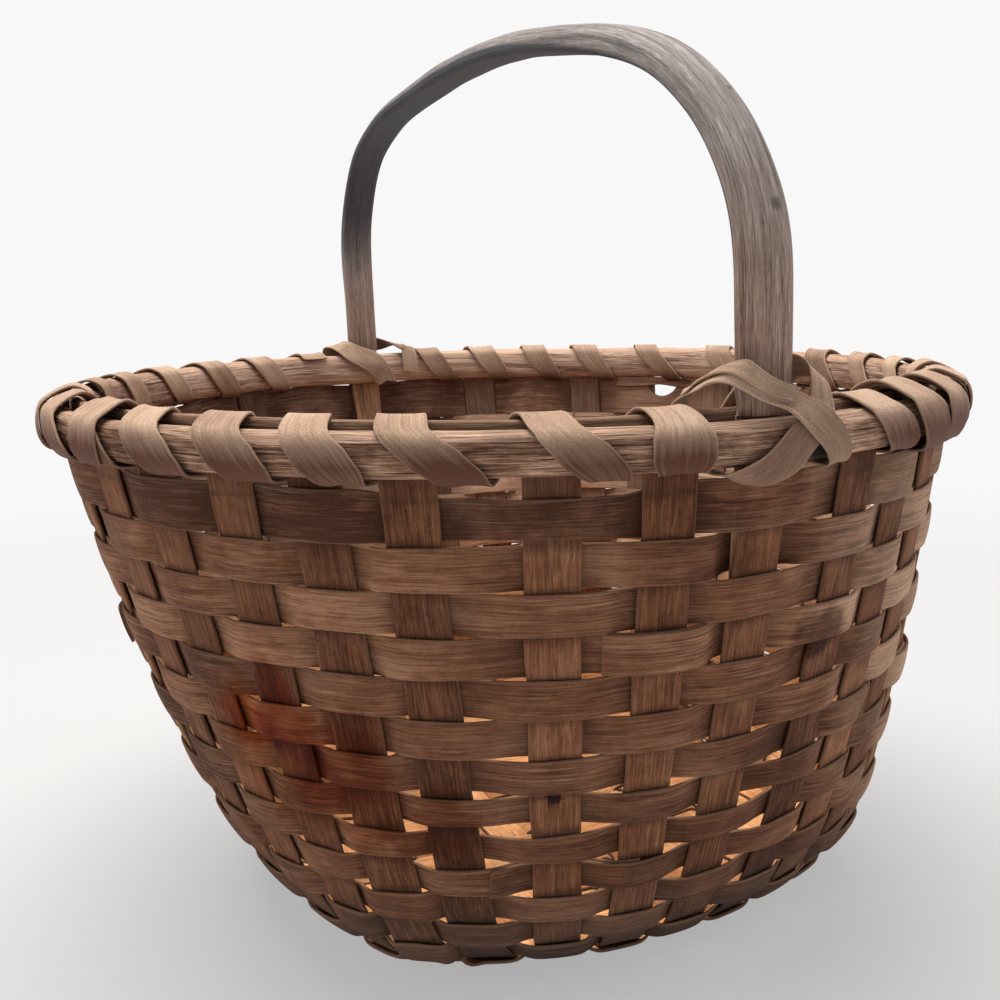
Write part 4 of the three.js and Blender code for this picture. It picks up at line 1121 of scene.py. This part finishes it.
def foot_outline(along, height):
    """The outline that the bands follow at a foot, as corners numbered from under the hoops."""
    top = height + (band_low_height - height) * part_way(np.abs(along), band_shoulder, band_spread - band_shoulder)
    inner = inner_hoop_radius - inner_hoop_thick - hoop_bump(along / rim_radius) - band_clear - seat_gap
    droop = band_droop * np.exp(-((along - droop_place) / droop_reach) ** 2) if height == near_band_height else 0
    under = -outer_hoop_height - lash_clear - droop
    out = rim_radius + band_clear
    leg_in, leg_out = leg_outer - leg_thick - band_clear, leg_outer + band_clear
    soft_radius = leg_out + (out - leg_out) * outer_shares[1][0]
    corners = [
        (wall_radius, under), (out, under), (out, -band_soft_step), (soft_radius, 0), (leg_out, band_soft_step),
        (leg_out, top), (leg_in, top), (leg_in, inner_hoop_rise + band_soft_step),
        (inner, inner_hoop_rise - band_soft_step), (inner, inner_hoop_rise - inner_hoop_height),
    ]
    corners = [np.stack([np.broadcast_to(part, np.shape(along)) for part in corner], -1) for corner in corners]
    corners = np.stack(corners, -2)
    return corners, np.linalg.norm(np.roll(corners, -1, -2) - corners, axis=-1)


def outline_points(along, height, length):
    """The point at a length along the foot outline, and the direction out of it there."""
    corners, runs = foot_outline(along, height)
    passed = np.concatenate((np.zeros((*runs.shape[:-1], 1)), np.cumsum(runs, -1)), -1)
    left = length % passed[..., -1]
    low = np.clip((left[..., None] >= passed).sum(-1) - 1, 0, runs.shape[-1] - 1)
    start, run = [np.take_along_axis(values, low[..., None], -1)[..., 0] for values in (passed, runs)]
    share = ((left - start) / run)[..., None]
    at = neighbours(corners, low)
    normals = [unit(np.stack(((b - a)[..., 1], -(b - a)[..., 0]), -1)) for a, b in zip(at, at[1:])]
    beside = np.where(share < 0.5, normals[0], normals[2])
    normal = unit(normals[1] + (beside - normals[1]) * np.abs(share - 0.5))
    return at[1] + (at[2] - at[1]) * share, normal


def corner_length(along, height, corner):
    runs = foot_outline(np.array([along]), height)[1][0]
    turns, place = divmod(corner, len(runs))
    low = int(place)
    return turns * runs.sum() + runs[:low].sum() + runs[low] * (place - low)


def foot_band(name, foot_angle, height, broad, shares, seed, kept=1, ply=0):
    line = [(run * band_spread, corner_length(run * band_spread, height, corner)) for run, corner, _, _ in shares]
    at = np.linspace(0, 1, band_stations)
    track = through(line, at)
    corner, widths, layers = through([share[1:] for share in shares], at).T
    widths = lash_width * broad * widths
    heading = unit(np.gradient(track, axis=0))
    sideways = np.column_stack((heading[:, 1], -heading[:, 0]))
    across, depth = splint_offsets(widths, lash_thick)
    share = across / column(widths / 2)
    run = runs_along(track)
    across = across * (1 - ply_narrower * ply) - ply_aside * ply
    spots = track[:, None] + sideways[:, None] * across[..., None]
    point, normal = outline_points(spots[..., 0], height, spots[..., 1])
    lift = column((layers + ply_layers * ply) * (lash_thick + seat_gap) + lash_thick / 2)
    place = point + normal * (lift + depth + 0.0003 * np.abs(share) ** 3)[..., None]
    rings = rim_points(foot_angle + spots[..., 0] / rim_radius, place[..., 0], place[..., 1])
    for _ in range(band_passes):
        rings[1:-1] = (rings[:-2] + 2 * rings[1:-1] + rings[2:]) / 4
    count = int(kept * band_stations)
    # Painted shade on the bands' low parts by and under the hoops, and a little on their faces against the hoops.
    marks = {
        "seed": seed * 0.31, "inner": 0, "edge": np.abs(share[:count]),
        "painted_shade": column(np.clip((3.6 - corner[:count]) / 1.8, 0, 1.2)) + 0.4 * lower_half,
        "tone": 0.52 + 0.2 * wander(seed, run[:count], 0.05),
    }
    return skin(name, rings[:count], 2 * lash_width, run[count - 1], marks)


near_foot = (0.0, near_band_height, 1)
far_foot = (math.pi, far_band_height, 1.3)
bands = [
    ("near_foot_lashing_over", "near_foot_over_band", near_foot, over_shares, 701),
    ("near_foot_lashing_under", "near_foot_under_band", near_foot, near_under_shares, 710),
    ("far_foot_lashing_over", "far_foot_over_band", far_foot, over_shares, 731),
    ("far_foot_lashing_under", "far_foot_under_band", far_foot, far_under_shares, 740),
    ("near_foot_lashing_over", "near_foot_split_ply", near_foot, over_shares, 751, 0.57, 1),
]
for node, name, foot, *winding in bands:
    fit(foot_band(name, *foot, *winding), node, lash_wood)
